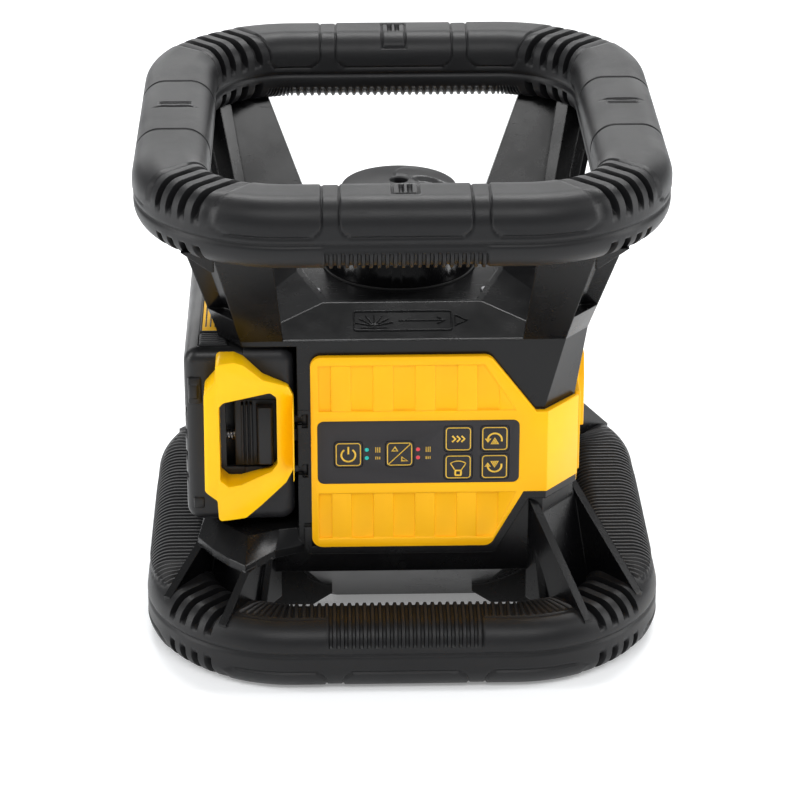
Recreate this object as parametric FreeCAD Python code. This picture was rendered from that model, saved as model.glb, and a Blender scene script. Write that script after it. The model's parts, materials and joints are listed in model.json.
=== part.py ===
"""Rotating laser level: roll-cage housing, spinning head on a levelled gimbal, keypad and slide-in battery pack.

Units are millimetres. +Z is up, -Y is the keypad side, and the origin is the centre of the
footprint at floor level.
"""
import FreeCAD, Part
import math
import os

os.makedirs("parts", exist_ok=True)

# ---- driving dimensions -------------------------------------------------------------------------
CAGE_WIDTH = 240.0          # outer X of both rings
CAGE_DEPTH = 262.0          # outer Y of both rings
CAGE_HEIGHT = 237.0         # floor to the top of the upper ring
RING_BAND = 34.0            # width of a ring member seen from above
RING_DEPTH = 33.0           # height of a ring member
RING_CORNER = 70.0          # outer corner radius of a ring
RING_ROUND = 11.5           # rounding of a ring member's long edges
RING_WALL = 4.0             # wall of the hollow ring mouldings
SEAM_SHARE = 0.42           # the ribbed half's share of a ring's height

WALL = 3.0                  # housing wall
SPLIT_Z = 118.0             # joint between lower and upper housing
ROOF_Z = 152.0              # outer edge of the roof
FLOOR_Z = 6.0               # underside of the housing
TUB_Z = 36.0                # where the tapered underside meets the upright walls
SHELF_Z = 58.0              # top of the shelf under the battery pack
FRONT = 80.0                # front and back faces of the housing, from the centre
SIDE = 79.0                 # right face of the housing at the joint
SIDE_TOP = 84.0             # right face at the roof
BAY_X = -48.0               # wall of the battery bay
BAY_BACK = 40.0             # back wall of the battery bay
BAY_TOP = 149.5             # ceiling of the battery bay
PANEL = 3.0                 # thickness of the yellow panels

PIVOT_Z = 130.0             # centre of the levelling gimbal
LEVER = 52.0                # distance from the gimbal axes to the levelling screws
RUN = 0.05                  # radial clearance of a pin or shaft in its hole

ROTOR_Z = 177.0             # underside of the spinning head
ROTOR_TOP = 200.0           # top of the spinning head
ROTOR_R = 24.0
CAP_R = 27.0
MOTOR_PULLEY_R = 3.0
BELT = 1.2                  # belt thickness
BELT_CENTRES = 19.0         # rotor axis to drive motor axis

PACK_LOW = (-99.0, -80.0, 62.0)
PACK_HIGH = (-49.5, 35.0, 148.0)
PACK_WALL = 2.6
PACK_SPLIT_X = -72.0        # joint between the two pack shells
GUARD_REACH = 17.0          # how far the end frame stands in front of the pack
RAIL_X = (-45.6, -43.8)      # head of a T-shaped rail on the pack
CELL_R = 9.1
CELL_LENGTH = 65.0

KEY_SIZE = 12.8
KEY_GAP = 0.25
KEYPAD_CENTRE = (6.8, 98.0)
KEYPAD_SIZE = (91.8, 31.3)
KEYS = {                     # key name: centre X, centre Z
    "power_button": (-25.1, 97.1),
    "slope_button": (-1.8, 97.1),
    "speed_button": (24.9, 104.4),
    "scan_button": (24.9, 90.3),
    "rotate_right_button": (41.5, 104.4),
    "rotate_left_button": (41.5, 90.3),
}
LED_COLUMNS = (-16.7, 6.6)
LED_HEIGHTS = (99.3, 95.2)

THREAD_R = 6.8              # minor radius of a 5/8 inch 11 thread per inch tripod thread
BUSHING_R = 24.0

Vec = FreeCAD.Vector
X_AXIS = Vec(1, 0, 0)
Y_AXIS = Vec(0, 1, 0)
Z_AXIS = Vec(0, 0, 1)


# ---- building blocks ----------------------------------------------------------------------------
def box(x0, x1, y0, y1, z0, z1):
    """An upright box between two corners."""
    return Part.makeBox(x1 - x0, y1 - y0, z1 - z0, Vec(x0, y0, z0))


def rod(radius, length, base, axis=Z_AXIS):
    """A cylinder that starts at base and runs along axis."""
    return Part.makeCylinder(radius, length, Vec(*base), axis)


def tube(outer, inner, length, base, axis=Z_AXIS):
    """A cylinder with a hole along it."""
    return rod(outer, length, base, axis).cut(rod(inner, length, base, axis))


def wire(points, place):
    """A closed polygon; place turns a 2-D point into a 3-D one."""
    corners = [Vec(*place(p)) for p in points]
    return Part.makePolygon(corners + corners[:1])


def plan_prism(points, z0, z1):
    """A polygon in plan, made solid from z0 to z1."""
    face = Part.Face(wire(points, lambda p: (p[0], p[1], z0)))
    return face.extrude(Vec(0, 0, z1 - z0))


def front_prism(points, y0, y1):
    """A polygon of (X, Z) points, made solid from y0 to y1."""
    face = Part.Face(wire(points, lambda p: (p[0], y0, p[1])))
    return face.extrude(Vec(0, y1 - y0, 0))


def side_prism(points, x0, x1):
    """A polygon of (Y, Z) points, made solid from x0 to x1."""
    face = Part.Face(wire(points, lambda p: (x0, p[0], p[1])))
    return face.extrude(Vec(x1 - x0, 0, 0))


def frustum(low, z0, high, z1):
    """A straight-sided solid between two polygons with the same number of corners."""
    wires = [wire(low, lambda p: (p[0], p[1], z0)), wire(high, lambda p: (p[0], p[1], z1))]
    return Part.makeLoft(wires, True, True)


def inset(points, distance):
    """The polygon with every side moved inwards; corners run anticlockwise."""
    count = len(points)
    moved = []
    for i, (x, y) in enumerate(points):
        before = points[i - 1]
        after = points[(i + 1) % count]
        a = Vec(x - before[0], y - before[1], 0).normalize()
        b = Vec(after[0] - x, after[1] - y, 0).normalize()
        inward = Vec(-a.y - b.y, a.x + b.x, 0)
        scale = distance / (1 + a.dot(b))
        moved.append((x + inward.x * scale, y + inward.y * scale))
    return moved


def octagon(half_x, half_y, cut_x, cut_y):
    """A rectangle in plan with its four corners cut off, anticlockwise."""
    ix, iy = half_x - cut_x, half_y - cut_y
    return [(-ix, -half_y), (ix, -half_y), (half_x, -iy), (half_x, iy),
            (ix, half_y), (-ix, half_y), (-half_x, iy), (-half_x, -iy)]


def fuse(shapes):
    """One solid from several that touch."""
    return shapes[0].multiFuse(shapes[1:]).removeSplitter()


def cut(shape, tools):
    """shape with every tool taken away."""
    return shape.cut(tools if isinstance(tools, list) else [tools])


def rounded(shape, radius, keep):
    """shape with the edges that keep accepts rounded."""
    return shape.makeFillet(radius, [edge for edge in shape.Edges if keep(edge)])


def upright(edge):
    """True for a straight edge along Z."""
    return along(edge, Z_AXIS)


def along(edge, axis):
    """True for a straight edge along an axis."""
    if not isinstance(edge.Curve, Part.Line):
        return False
    return abs(abs(edge.Curve.Direction.dot(axis)) - 1) < 1e-6


def level(edge, z):
    """True for an edge that lies at a height."""
    return abs(edge.BoundBox.ZMin - z) < 1e-4 and abs(edge.BoundBox.ZMax - z) < 1e-4


def mirrored_y(shape):
    """The same shape on the other side of the XZ plane."""
    return shape.mirror(Vec(0, 0, 0), Y_AXIS)


def mirrored_x(shape):
    """The same shape on the other side of the YZ plane."""
    return shape.mirror(Vec(0, 0, 0), X_AXIS)


def screw(radius, length, head_radius, base, axis=Z_AXIS):
    """A cap screw: shank from base along axis, head at its far end."""
    end = Vec(*base) + axis * length
    return rod(radius, length, base, axis).fuse(rod(head_radius, radius * 1.2, tuple(end), axis))


# ---- rings --------------------------------------------------------------------------------------
def rounded_block(margin, corner, z0, z1):
    """The ring's outline in plan, pulled in by margin."""
    half_x, half_y = CAGE_WIDTH / 2 - margin, CAGE_DEPTH / 2 - margin
    return rounded(box(-half_x, half_x, -half_y, half_y, z0, z1), corner, upright)


def ring_bar(z0, grow):
    """A rounded ring member all the way round; grow below zero makes the hollow inside it."""
    low, high = z0 - grow, z0 + RING_DEPTH + grow
    outer = rounded_block(-grow, RING_CORNER + grow, low, high)
    inner_corner = RING_CORNER - RING_BAND - grow
    ring = outer.cut(rounded_block(RING_BAND + grow, inner_corner, low, high))
    return rounded(ring, RING_ROUND + grow, lambda e: level(e, low) or level(e, high))


def ring_halves(z0, ribbed_below):
    """The two hollow mouldings of one ring: the ribbed half and the smooth half."""
    shell = ring_bar(z0, 0).cut(ring_bar(z0, -RING_WALL))
    share = SEAM_SHARE if ribbed_below else 1 - SEAM_SHARE
    seam = z0 + RING_DEPTH * share
    reach = CAGE_DEPTH
    below = shell.common(box(-reach, reach, -reach, reach, z0 - 1, seam))
    above = shell.common(box(-reach, reach, -reach, reach, seam, z0 + RING_DEPTH + 1))
    return (below, above) if ribbed_below else (above, below)


TOP_RING_Z = CAGE_HEIGHT - RING_DEPTH
POST_TOP = TOP_RING_Z + RING_WALL


# ---- housing ------------------------------------------------------------------------------------
JOINT_PLAN = octagon(SIDE, FRONT, 15, 17)
ROOF_PLAN = octagon(SIDE_TOP, FRONT, 11, 14)
SKIRT_PLAN = [(BAY_X, -FRONT), (60, -FRONT), (SIDE, -FRONT + 17),
              (SIDE, FRONT - 17), (60, FRONT), (BAY_X, FRONT)]
TUB_PLAN = [(-44, -FRONT), (46, -FRONT), (SIDE, -52), (SIDE, 52),
            (46, FRONT), (-44, FRONT), (BAY_X, 74), (BAY_X, -74)]
UNDER_PLAN = [(-31, -47), (34, -47), (68, -45), (68, 45), (34, 47), (-31, 47), (-40, 44), (-40, -44)]
LIP_PLAN = [(-95, -71), (-88, -83), (-80, -93.5), (-72.5, -101), (-59, -85.6), (-46, -80), (-46, -50), (-93, -50)]
LIP_TOP_PLAN = [(-91, -61), (-84, -71), (-77, -80), (-71, -86), (-57, -80), (-46, -78), (-46, -50), (-91, -50)]
LIP_Z = 50.0                # edge of the sloping lip in front of the battery shelf
FIN = 3.8                   # thickness of the fins that carry the base ring
FIN_LOW = 21.0              # foot of a fin inside the base ring
FIN_RING = 24.0             # foot of a fin where it runs over the base ring
DISH_Z = 162.0
DISH_PLAN = octagon(48, 59, 12, 38)
DISH_FLOOR_Z = 158.0
GASKET = 0.8
POCKET_Z = 166.0            # foot of the pocket between a post's two flanges


def bay(margin):
    """The battery bay's space, grown by margin into its two walls."""
    return box(-200, BAY_X + margin, -200, BAY_BACK + margin, SHELF_Z, BAY_TOP)


def post(inner_top, inner_roof):
    """One corner post: a front flange and a side flange with a recessed pocket between their edges."""
    share = (POCKET_Z - ROOF_Z) / (POST_TOP - ROOF_Z)

    def section(t, depth):
        """The post's outline at a share t of its height, its corner sunk by depth."""
        inner = inner_roof + (inner_top - inner_roof) * t
        mid_x = ROOF_PLAN[1][0] + 11 * t
        front_y = -FRONT - 32 * t
        side_x = SIDE_TOP + 14 * t
        mid_y = ROOF_PLAN[2][1] - 30 * t
        back_y = -38 - 28 * t
        run_x, run_y = side_x - mid_x, mid_y - front_y
        if depth > 0:
            corner = [(mid_x, front_y + run_y * 0.72), (mid_x + run_x * 0.38, mid_y)]
        else:
            corner = [(mid_x + run_x * t, front_y + run_y * t) for t in (0.33, 0.66)]
        outer = [(inner, front_y), (mid_x, front_y)] + corner + [(side_x, mid_y), (side_x, back_y)]
        dx = WALL if depth > 0 else WALL * 0.5
        inside = [(side_x - WALL, back_y), (side_x - WALL, mid_y + WALL * 0.5)]
        inside += [(x - dx, y + dx) for x, y in reversed(corner)]
        inside += [(mid_x - WALL * 0.5, front_y + WALL), (inner, front_y + WALL)]
        return outer + inside

    foot = frustum(section(0, 0), ROOF_Z, section(share, 0), POCKET_Z)
    channel = frustum(section(share, 1), POCKET_Z, section(1, 1), POST_TOP)
    skin = 1.2
    shelf_edge = [(x - skin, y + skin) for x, y in section(share, 0)[1:5]]
    shelf = plan_prism(shelf_edge + section(share, 1)[7:11], POCKET_Z - 2, POCKET_Z)
    flare_low = [(83, -105), (84.5, -105), (84.5, -102), (83, -102)]
    flare_high = [(83, -112), (97, -112), (97, -109), (83, -109)]
    flare = frustum(flare_low, POST_TOP - 12, flare_high, POST_TOP)
    return fuse([foot, channel, shelf, flare])


def fin(start, end, z_start, z_end, back=0.0):
    """A flat fin from start to end in plan, its top edge sloping down; back runs level behind start."""
    run = Vec(end[0] - start[0], end[1] - start[1], 0)
    length = run.Length
    step = length * 0.52 - back * 0.3
    profile = [(-back, FIN_LOW), (step, FIN_LOW), (step, FIN_RING), (length, FIN_RING), (length, z_end),
               (0, z_start), (-back, z_start)]
    plate = front_prism(profile if back else profile[:-1], -FIN / 2, FIN / 2)
    plate.rotate(Vec(0, 0, 0), Z_AXIS, math.degrees(math.atan2(run.y, run.x)))
    return plate.translate(Vec(start[0], start[1], 0))


def front_corner_supports():
    """The fins, webs and low wings at the two front corners, and the sloping lip under the battery pack."""
    web_z = LIP_Z - 3
    wing = [(68, web_z), (68, 8), (42, 8), (33, 14), (33, web_z)]
    return [
        fin((58.5, -78), (83, -119.5), 74, 30),
        fin((77, -54), (108.5, -93.5), 74, 30),
        fin((-72.5, -100.5), (-83, -119.5), web_z, 30, back=30),
        fin((-94, -71), (-109, -92.5), web_z, 30, back=26),
        frustum([(66, -98), (91, -66), (88, -64), (63, -95)], FIN_LOW,
                [(61, -79), (78, -61), (75, -59), (58, -76)], 74),
        frustum([(-93, -68), (-67, -98), (-64, -95), (-90, -65)], FIN_LOW,
                [(-86, -62), (-63, -90), (-60, -87), (-83, -59)], web_z),
        front_prism(wing, -60, -57),
        front_prism([(-x, z) for x, z in wing], -60, -57),
        plan_prism(LIP_PLAN, LIP_Z - 4, LIP_Z),
        frustum(LIP_PLAN, LIP_Z, LIP_TOP_PLAN, SHELF_Z),
    ]


def panel_rim():
    """The raised black rim under the front panel and below its band at the right-hand corner."""
    deep = -FRONT - PANEL + 0.8
    outline = [(-45.5, 60), (-45.5, 46), (42.3, 46), (57.3, 73.5), (64, 73.5), (64, 77.5), (55, 77.5), (40, 50),
               (-42, 50), (-42, 60)]
    corner = [(64, -FRONT), (SIDE, -FRONT + 17), (SIDE + 1.4, -FRONT + 16), (65.2, deep), (64, deep)]
    rim = rounded(front_prism(outline, deep, -FRONT), 4.0,
                  lambda e: along(e, Y_AXIS) and e.BoundBox.ZMax < 46.1)
    return [rim, plan_prism(corner, 73.5, 77.5)]


def lower_housing():
    """Tub, upright walls, shelf under the battery pack and the fins that carry the base ring."""
    body = fuse([
        frustum(UNDER_PLAN, FLOOR_Z, TUB_PLAN, TUB_Z),
        plan_prism(SKIRT_PLAN, TUB_Z, SHELF_Z),
        box(-62, BAY_X + 1, -FRONT, -FRONT + WALL, TUB_Z, SHELF_Z + 4),
        plan_prism(JOINT_PLAN, SHELF_Z - 4, SPLIT_Z),
    ]).cut(bay(0))
    shelf_trim = plan_prism([(-200, -200), (-48, -200), (-48, -70), (-64, -70), (-79, -50), (-200, -50)],
                            SHELF_Z - 5, SHELF_Z + 1)
    body = body.cut(shelf_trim)
    shelf_plan = [(-91, -61), (-46, -61), (-46, 78), (-70, 78), (-96, 50), (-96, -50)]
    shelf = plan_prism(shelf_plan, SHELF_Z - 4, SHELF_Z)
    upper_space = plan_prism(inset(JOINT_PLAN, WALL), SHELF_Z, SPLIT_Z + 1)
    cavity = fuse([
        frustum(inset(UNDER_PLAN, WALL), FLOOR_Z + WALL, inset(TUB_PLAN, WALL), TUB_Z),
        plan_prism(inset(SKIRT_PLAN, WALL), TUB_Z + WALL, SHELF_Z),
        plan_prism(inset(TUB_PLAN, WALL), TUB_Z, TUB_Z + WALL),
        upper_space.cut(bay(WALL)),
    ])
    supports = front_corner_supports()
    body = fuse([body, shelf] + supports + [mirrored_y(piece) for piece in supports] + panel_rim())
    body = body.cut([cavity, dock_envelope(), bay(0).common(box(-200, BAY_X, -200, 200, SHELF_Z, SPLIT_Z + 1))])
    bottom_boss = rod(BUSHING_R + 4, FLOOR_Z + 8, (0, 0, 2))
    back_boss = rod(BUSHING_R - 4, 14, (16, FRONT - 13, 84), Y_AXIS)
    body = fuse([body, bottom_boss, back_boss])
    body = body.cut([rod(BUSHING_R, 20, (0, 0, 0)), rod(BUSHING_R - 8, 30, (16, FRONT - 20, 84), Y_AXIS)])
    return body.cut(pack_rails(0.35, -FRONT - 1, -FRONT + 10))


def upper_housing():
    """Roof with its dish, the skirt below it and the four posts that carry the upper ring."""
    skirt = frustum(JOINT_PLAN, SPLIT_Z, ROOF_PLAN, ROOF_Z).cut(bay(0))
    space = frustum(inset(JOINT_PLAN, WALL), SPLIT_Z, inset(ROOF_PLAN, WALL), ROOF_Z)
    space = space.common(box(-200, 200, -200, 200, SPLIT_Z - 1, BAY_TOP - 0.5)).cut(bay(WALL))
    hip = frustum(inset(ROOF_PLAN, 1.5), ROOF_Z, DISH_PLAN, DISH_Z)
    hollow = frustum(inset(ROOF_PLAN, 18), BAY_TOP - 1, inset(DISH_PLAN, 5), DISH_FLOOR_Z - WALL)
    dish = plan_prism(inset(DISH_PLAN, 3), DISH_FLOOR_Z, DISH_Z + 1)
    front_posts = [post(58, 54), mirrored_x(post(58, 54))]
    back_posts = [mirrored_y(post(64, 40)), mirrored_y(mirrored_x(post(64, 40)))]
    body = fuse([skirt.cut(space), hip] + front_posts + back_posts)
    return body.cut([hollow, dish, rod(33, 40, (0, 0, BAY_TOP - 5))])


def head_collar():
    """The round turret that stands in the dish around the spinning head's neck."""
    outside = Part.makeCone(35.5, 33.5, 11.2, Vec(0, 0, DISH_FLOOR_Z + GASKET))
    outside = outside.fuse(rod(32.7, 6 + GASKET, (0, 0, DISH_FLOOR_Z - 6)))
    inside = Part.makeCone(29, 31, 18.2, Vec(0, 0, DISH_FLOOR_Z - 6.1))
    return outside.cut(inside)


def collar_gasket():
    """Flat rubber gasket between the turret and the dish."""
    return tube(36.0, 32.75, GASKET, (0, 0, DISH_FLOOR_Z))


# ---- panels and keypad --------------------------------------------------------------------------
def panel_outline():
    """Outline of the front panel in (X, Z)."""
    return [(-42, 50), (40, 50), (55, 77.5), (64, 77.5), (64, 117.5), (60, 117.5), (39, 145.2), (-42, 145.2)]


def front_panel():
    """Yellow front panel with its band round the right-hand corner and the keypad's recess."""
    face = front_prism(panel_outline(), -FRONT - PANEL, -FRONT)
    corners = [(-42, 50), (40, 50), (39, 145.2), (-42, 145.2)]
    face = rounded(face, 5.0, lambda e: along(e, Y_AXIS) and
                   any(abs(e.Vertexes[0].X - x) + abs(e.Vertexes[0].Z - z) < 0.01 for x, z in corners))
    corner = [(64, -FRONT), (SIDE, -FRONT + 17), (SIDE + 1.9, -FRONT + 15.6),
              (65.5, -FRONT - PANEL), (64, -FRONT - PANEL)]
    band = plan_prism(corner, 77.5, 117.5)
    recess = keypad_block(0.0, -FRONT - PANEL - 1, -FRONT - PANEL + 1.2)
    well = keypad_block(-0.8, -FRONT - PANEL - 1, -FRONT + 1)
    return face.fuse(band).removeSplitter().cut([recess, well] + rib_fields())


def rib_fields():
    """Shallow fields above and below the keypad, each crossed by deeper upright channels."""
    face = -FRONT - PANEL
    cutters = []
    for outline in FIELDS:
        field = front_prism(outline, face - 1, face + FIELD_DEPTH)
        channels = [box(x, x + CHANNEL_WIDTH, face, face + CHANNEL_DEPTH, 50, 145)
                    for x in (CHANNEL_START + i * CHANNEL_PITCH for i in range(5))]
        lowered = front_prism(outline, face, face + CHANNEL_DEPTH)
        cutters += [field] + [channel.common(lowered) for channel in channels]
    return cutters


def keypad_block(grow, y0, y1):
    """The keypad's rounded rectangle between two depths."""
    cx, cz = KEYPAD_CENTRE
    hx, hz = KEYPAD_SIZE[0] / 2 + grow, KEYPAD_SIZE[1] / 2 + grow
    return rounded(box(cx - hx, cx + hx, y0, y1, cz - hz, cz + hz), 3.0 + grow, lambda e: along(e, Y_AXIS))


def key_block(centre, grow, y0, y1):
    """A key's rounded square between two depths."""
    half = KEY_SIZE / 2 + grow
    block = box(centre[0] - half, centre[0] + half, y0, y1, centre[1] - half, centre[1] + half)
    return rounded(block, 1.8 + grow, lambda e: along(e, Y_AXIS))


FIELDS = [
    [(-38.5, 118.4), (51, 118.4), (36.5, 141), (-38.5, 141)],
    [(-38.8, 54.4), (41, 54.4), (51.5, 77.4), (-38.8, 77.4)],
]
FIELD_DEPTH = 0.5
CHANNEL_DEPTH = 1.4
CHANNEL_START = -42.8
CHANNEL_PITCH = 19.05
CHANNEL_WIDTH = 10.0
KEYPAD_FACE = -FRONT - PANEL
BOARD_Y = -FRONT + WALL


def keypad_overlay():
    """The dark membrane's frame, with an opening for each key and a hole for each light."""
    sheet = keypad_block(-0.05, KEYPAD_FACE, KEYPAD_FACE + 1.2)
    holes = [key_block(centre, KEY_GAP, KEYPAD_FACE - 1, KEYPAD_FACE + 2) for centre in KEYS.values()]
    holes += [rod(1.05, 4, (x, KEYPAD_FACE - 1, z), Y_AXIS) for x in LED_COLUMNS for z in LED_HEIGHTS]
    return sheet.cut(holes)


def key(centre):
    """A key cap with the plunger that reaches its switch."""
    cap = key_block(centre, 0, KEYPAD_FACE - 0.1, KEYPAD_FACE + 1.3)
    plunger = rod(1.6, 3.0, (centre[0], KEYPAD_FACE + 1.3, centre[1]), Y_AXIS)
    return cap.fuse(plunger).removeSplitter()


def keypad_board():
    """The circuit board behind the keypad, with a square switch under each key."""
    cx, cz = KEYPAD_CENTRE
    board = box(cx - 48, cx + 48, BOARD_Y, BOARD_Y + 1.6, cz - 16.5, cz + 16.5)
    switches = [box(x - 3, x + 3, BOARD_Y - 1.0, BOARD_Y, z - 3, z + 3) for x, z in KEYS.values()]
    return fuse([board] + switches)


def status_leds():
    """Two columns of two lights, from the board to the keypad's face."""
    made = [rod(0.95, BOARD_Y - KEYPAD_FACE - 0.1, (x, KEYPAD_FACE + 0.1, z), Y_AXIS)
            for x in LED_COLUMNS for z in LED_HEIGHTS]
    return Part.makeCompound(made)


def side_panel():
    """Yellow panel on the right-hand side, with a raised pad at its upper edge."""
    outline = [(-61, 78), (-54, 78), (-40, 50), (40, 50), (54, 78), (61, 78), (61, 117.5), (48, 117.5),
               (43, 129), (-43, 129), (-48, 117.5), (-61, 117.5)]
    pad = [(-45, 93), (45, 93), (45, 117.5), (41, 128), (-41, 128), (-45, 117.5)]
    return side_prism(outline, SIDE, SIDE + PANEL).fuse(side_prism(pad, SIDE, SIDE + PANEL + 3)).removeSplitter()


def rear_panel():
    """Yellow panel on the back."""
    outline = [(-42, 50), (42, 50), (60, 78), (60, 117.5), (39, 145), (-42, 145)]
    plate = rounded(front_prism(outline, FRONT, FRONT + PANEL), 5.0, lambda e: along(e, Y_AXIS))
    return plate.cut(rod(BUSHING_R - 3, 10, (16, FRONT - 2, 84), Y_AXIS))


def keypad_window():
    """The opening in the front wall behind the keypad."""
    return keypad_block(-0.8, -FRONT - 1, -FRONT + WALL + 1)


# ---- mounts -------------------------------------------------------------------------------------
def tripod_bushing():
    """Threaded aluminium bushing in the underside."""
    return tube(BUSHING_R - 0.05, THREAD_R, 13, (0, 0, 2))


def rear_bushing():
    """Threaded aluminium bushing in the back, for use on its side."""
    return tube(BUSHING_R - 8.05, THREAD_R, 17, (16, FRONT - 13, 84), Y_AXIS)


# ---- levelling gimbal ---------------------------------------------------------------------------
PIN_R = 2.0
LEVEL_AXES = {"x": (0.0, LEVER), "y": (LEVER, 0.0)}


def gimbal_chassis():
    """Ring hung from the roof that carries the gimbal's outer pins and the two levelling drives."""
    ring = tube(43, 38, 16, (0, 0, PIVOT_Z - 10))
    legs = []
    for angle in (45, 135, 225, 315):
        x, y = 40.5 * math.cos(math.radians(angle)), 40.5 * math.sin(math.radians(angle))
        legs.append(rod(3, DISH_FLOOR_Z - WALL - PIVOT_Z, (x, y, PIVOT_Z)))
    shelves = [
        box(-8, 8, 41, LEVER + 9, PIVOT_Z - 22, PIVOT_Z - 19),
        box(-8, 8, 40.5, 43, PIVOT_Z - 22, PIVOT_Z),
        box(41, LEVER + 9, -8, 8, PIVOT_Z - 22, PIVOT_Z - 19),
        box(40.5, 43, -8, 8, PIVOT_Z - 22, PIVOT_Z),
    ]
    body = fuse([ring] + legs + shelves)
    passages = [
        box(-5.5, 5.5, 35, 44, PIVOT_Z - 6.5, PIVOT_Z + 12),
        box(35, 44, -5.5, 5.5, PIVOT_Z + 2.5, PIVOT_Z + 12),
        rod(PIN_R + RUN, 100, (-50, 0, PIVOT_Z), X_AXIS),
        rod(2.0 + RUN, 6, (0, LEVER, PIVOT_Z - 23)),
        rod(2.0 + RUN, 6, (LEVER, 0, PIVOT_Z - 23)),
    ]
    return body.cut(passages)


def fork():
    """Two slotted tines along +X, centred on the levelling nut's pegs."""
    tines = []
    for side in (-1, 1):
        middle = side * 4.0
        tine = box(LEVER - 6.5, LEVER + 3.0, middle - 0.6, middle + 0.6, PIVOT_Z - 2.6, PIVOT_Z + 2.6)
        slot = box(LEVER - 1.8, LEVER + 1.8, middle - 1, middle + 1, PIVOT_Z - 1.35, PIVOT_Z + 1.35)
        tines.append(tine.cut(slot))
    bridge = box(LEVER - 6.5, LEVER - 4.5, -4.6, 4.6, PIVOT_Z - 2.6, PIVOT_Z + 2.6)
    return fuse([bridge] + tines)


def gimbal_ring():
    """Middle ring of the gimbal, with the lever for tilt about X."""
    ring = tube(35.5, 28.5, 8, (0, 0, PIVOT_Z - 4))
    lever = box(-3, 3, 34, LEVER - 4.5, PIVOT_Z - 1.5, PIVOT_Z + 1.5)
    tines = fork()
    tines.rotate(Vec(0, 0, 0), Z_AXIS, 90)
    return fuse([ring, lever, tines]).cut([rod(PIN_R, 80, (-40, 0, PIVOT_Z), X_AXIS),
                                           rod(PIN_R + RUN, 66, (0, -33, PIVOT_Z), Y_AXIS)])


def outer_pins():
    """Pins along X, pressed in the gimbal ring, that turn in the chassis."""
    return Part.makeCompound([rod(PIN_R, 12.8, (s * 36.0 - 6.4, 0, PIVOT_Z), X_AXIS) for s in (-1, 1)])


def inner_pins():
    """Pins along Y, pressed in the laser barrel's collar, that turn in the gimbal ring."""
    return Part.makeCompound([rod(PIN_R, 13.8, (0, s * 25.9 - 6.9, PIVOT_Z), Y_AXIS) for s in (-1, 1)])


def nut(axis_point):
    """A levelling nut on its screw, with the two pegs that the lever's fork rides on."""
    x, y = axis_point
    body = box(x - 2.4, x + 2.4, y - 2.4, y + 2.4, PIVOT_Z - 3, PIVOT_Z + 3)
    peg = rod(0.8, 9.6, (x - 4.8, y, PIVOT_Z), X_AXIS) if y > x else rod(0.8, 9.6, (x, y - 4.8, PIVOT_Z), Y_AXIS)
    return body.fuse(peg).cut(rod(1.5 + RUN, 10, (x, y, PIVOT_Z - 5)))


def leadscrew(axis_point):
    """A levelling screw with the coupling that joins it to its motor."""
    x, y = axis_point
    return rod(1.5, 30.8, (x, y, PIVOT_Z - 22.3)).fuse(rod(2.0, 4.3, (x, y, PIVOT_Z - 22.3))).removeSplitter()


def level_motors():
    """The two small gear motors below the chassis shelves."""
    made = []
    for x, y in LEVEL_AXES.values():
        can = rod(6, 22, (x, y, PIVOT_Z - 46))
        gearbox = box(x - 6.5, x + 6.5, y - 6.5, y + 6.5, PIVOT_Z - 24.0, PIVOT_Z - 22.6)
        made.append(can.fuse(gearbox).removeSplitter())
    return Part.makeCompound(made)


# ---- laser module -------------------------------------------------------------------------------
BARREL_R = 13.0


def laser_barrel():
    """Aluminium barrel with its gimbal collar, neck and the lever for tilt about Y."""
    barrel = rod(BARREL_R, 96, (0, 0, PIVOT_Z - 60))
    collar = rod(25.5, 7, (0, 0, PIVOT_Z - 3.5))
    neck = rod(9.6, 11, (0, 0, PIVOT_Z + 36))
    deck = rod(15, 3, (0, 0, PIVOT_Z + 22))
    deck = deck.fuse(box(-6.4, 6.4, -BELT_CENTRES - 6.4, 0, PIVOT_Z + 22, PIVOT_Z + 25))
    lever_z = PIVOT_Z + 8.0
    lever = box(10, LEVER - 4.5, -3, 3, lever_z, lever_z + 3)
    drop = box(LEVER - 6.5, LEVER - 4.5, -4.6, 4.6, PIVOT_Z + 2, lever_z + 3)
    body = fuse([barrel, collar, neck, deck, lever, drop, fork()])
    holes = [
        rod(8, 140, (0, 0, PIVOT_Z - 61)),
        rod(PIN_R, 7, (0, -26, PIVOT_Z), Y_AXIS),
        rod(PIN_R, 7, (0, 19, PIVOT_Z), Y_AXIS),
        rod(1.4, 10, (0, -BELT_CENTRES, PIVOT_Z + 20)),
    ]
    return body.cut(holes)


def laser_diode():
    """Laser diode and its heat-sink cap in the foot of the barrel."""
    return rod(7.95, 12, (0, 0, PIVOT_Z - 60)).fuse(rod(12, 3, (0, 0, PIVOT_Z - 63))).removeSplitter()


def collimator_lens():
    """Glass lens with one crowned face."""
    disc = rod(7.9, 3, (0, 0, PIVOT_Z + 28))
    dome = Part.makeSphere(20, Vec(0, 0, PIVOT_Z + 31 - 17.6)).common(rod(7.9, 6, (0, 0, PIVOT_Z + 30)))
    return disc.fuse(dome).removeSplitter()


def level_sensor():
    """Two-axis level vial block clamped on the barrel."""
    block = box(-11, 11, -24, -12.4, PIVOT_Z - 44, PIVOT_Z - 24)
    return block.cut(rod(BARREL_R, 30, (0, 0, PIVOT_Z - 48)))


def rotor_bearings():
    """Two ball bearings that carry the rotor on the barrel's neck."""
    return Part.makeCompound([tube(13.4, 9.6, 3.5, (0, 0, z)) for z in (PIVOT_Z + 37, PIVOT_Z + 43.5)])


def drive_motor():
    """Small motor that drives the rotor's belt."""
    return rod(5.6, 16, (0, -BELT_CENTRES, PIVOT_Z + 5.8)).fuse(rod(1.0, 18, (0, -BELT_CENTRES, PIVOT_Z + 14)))


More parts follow.
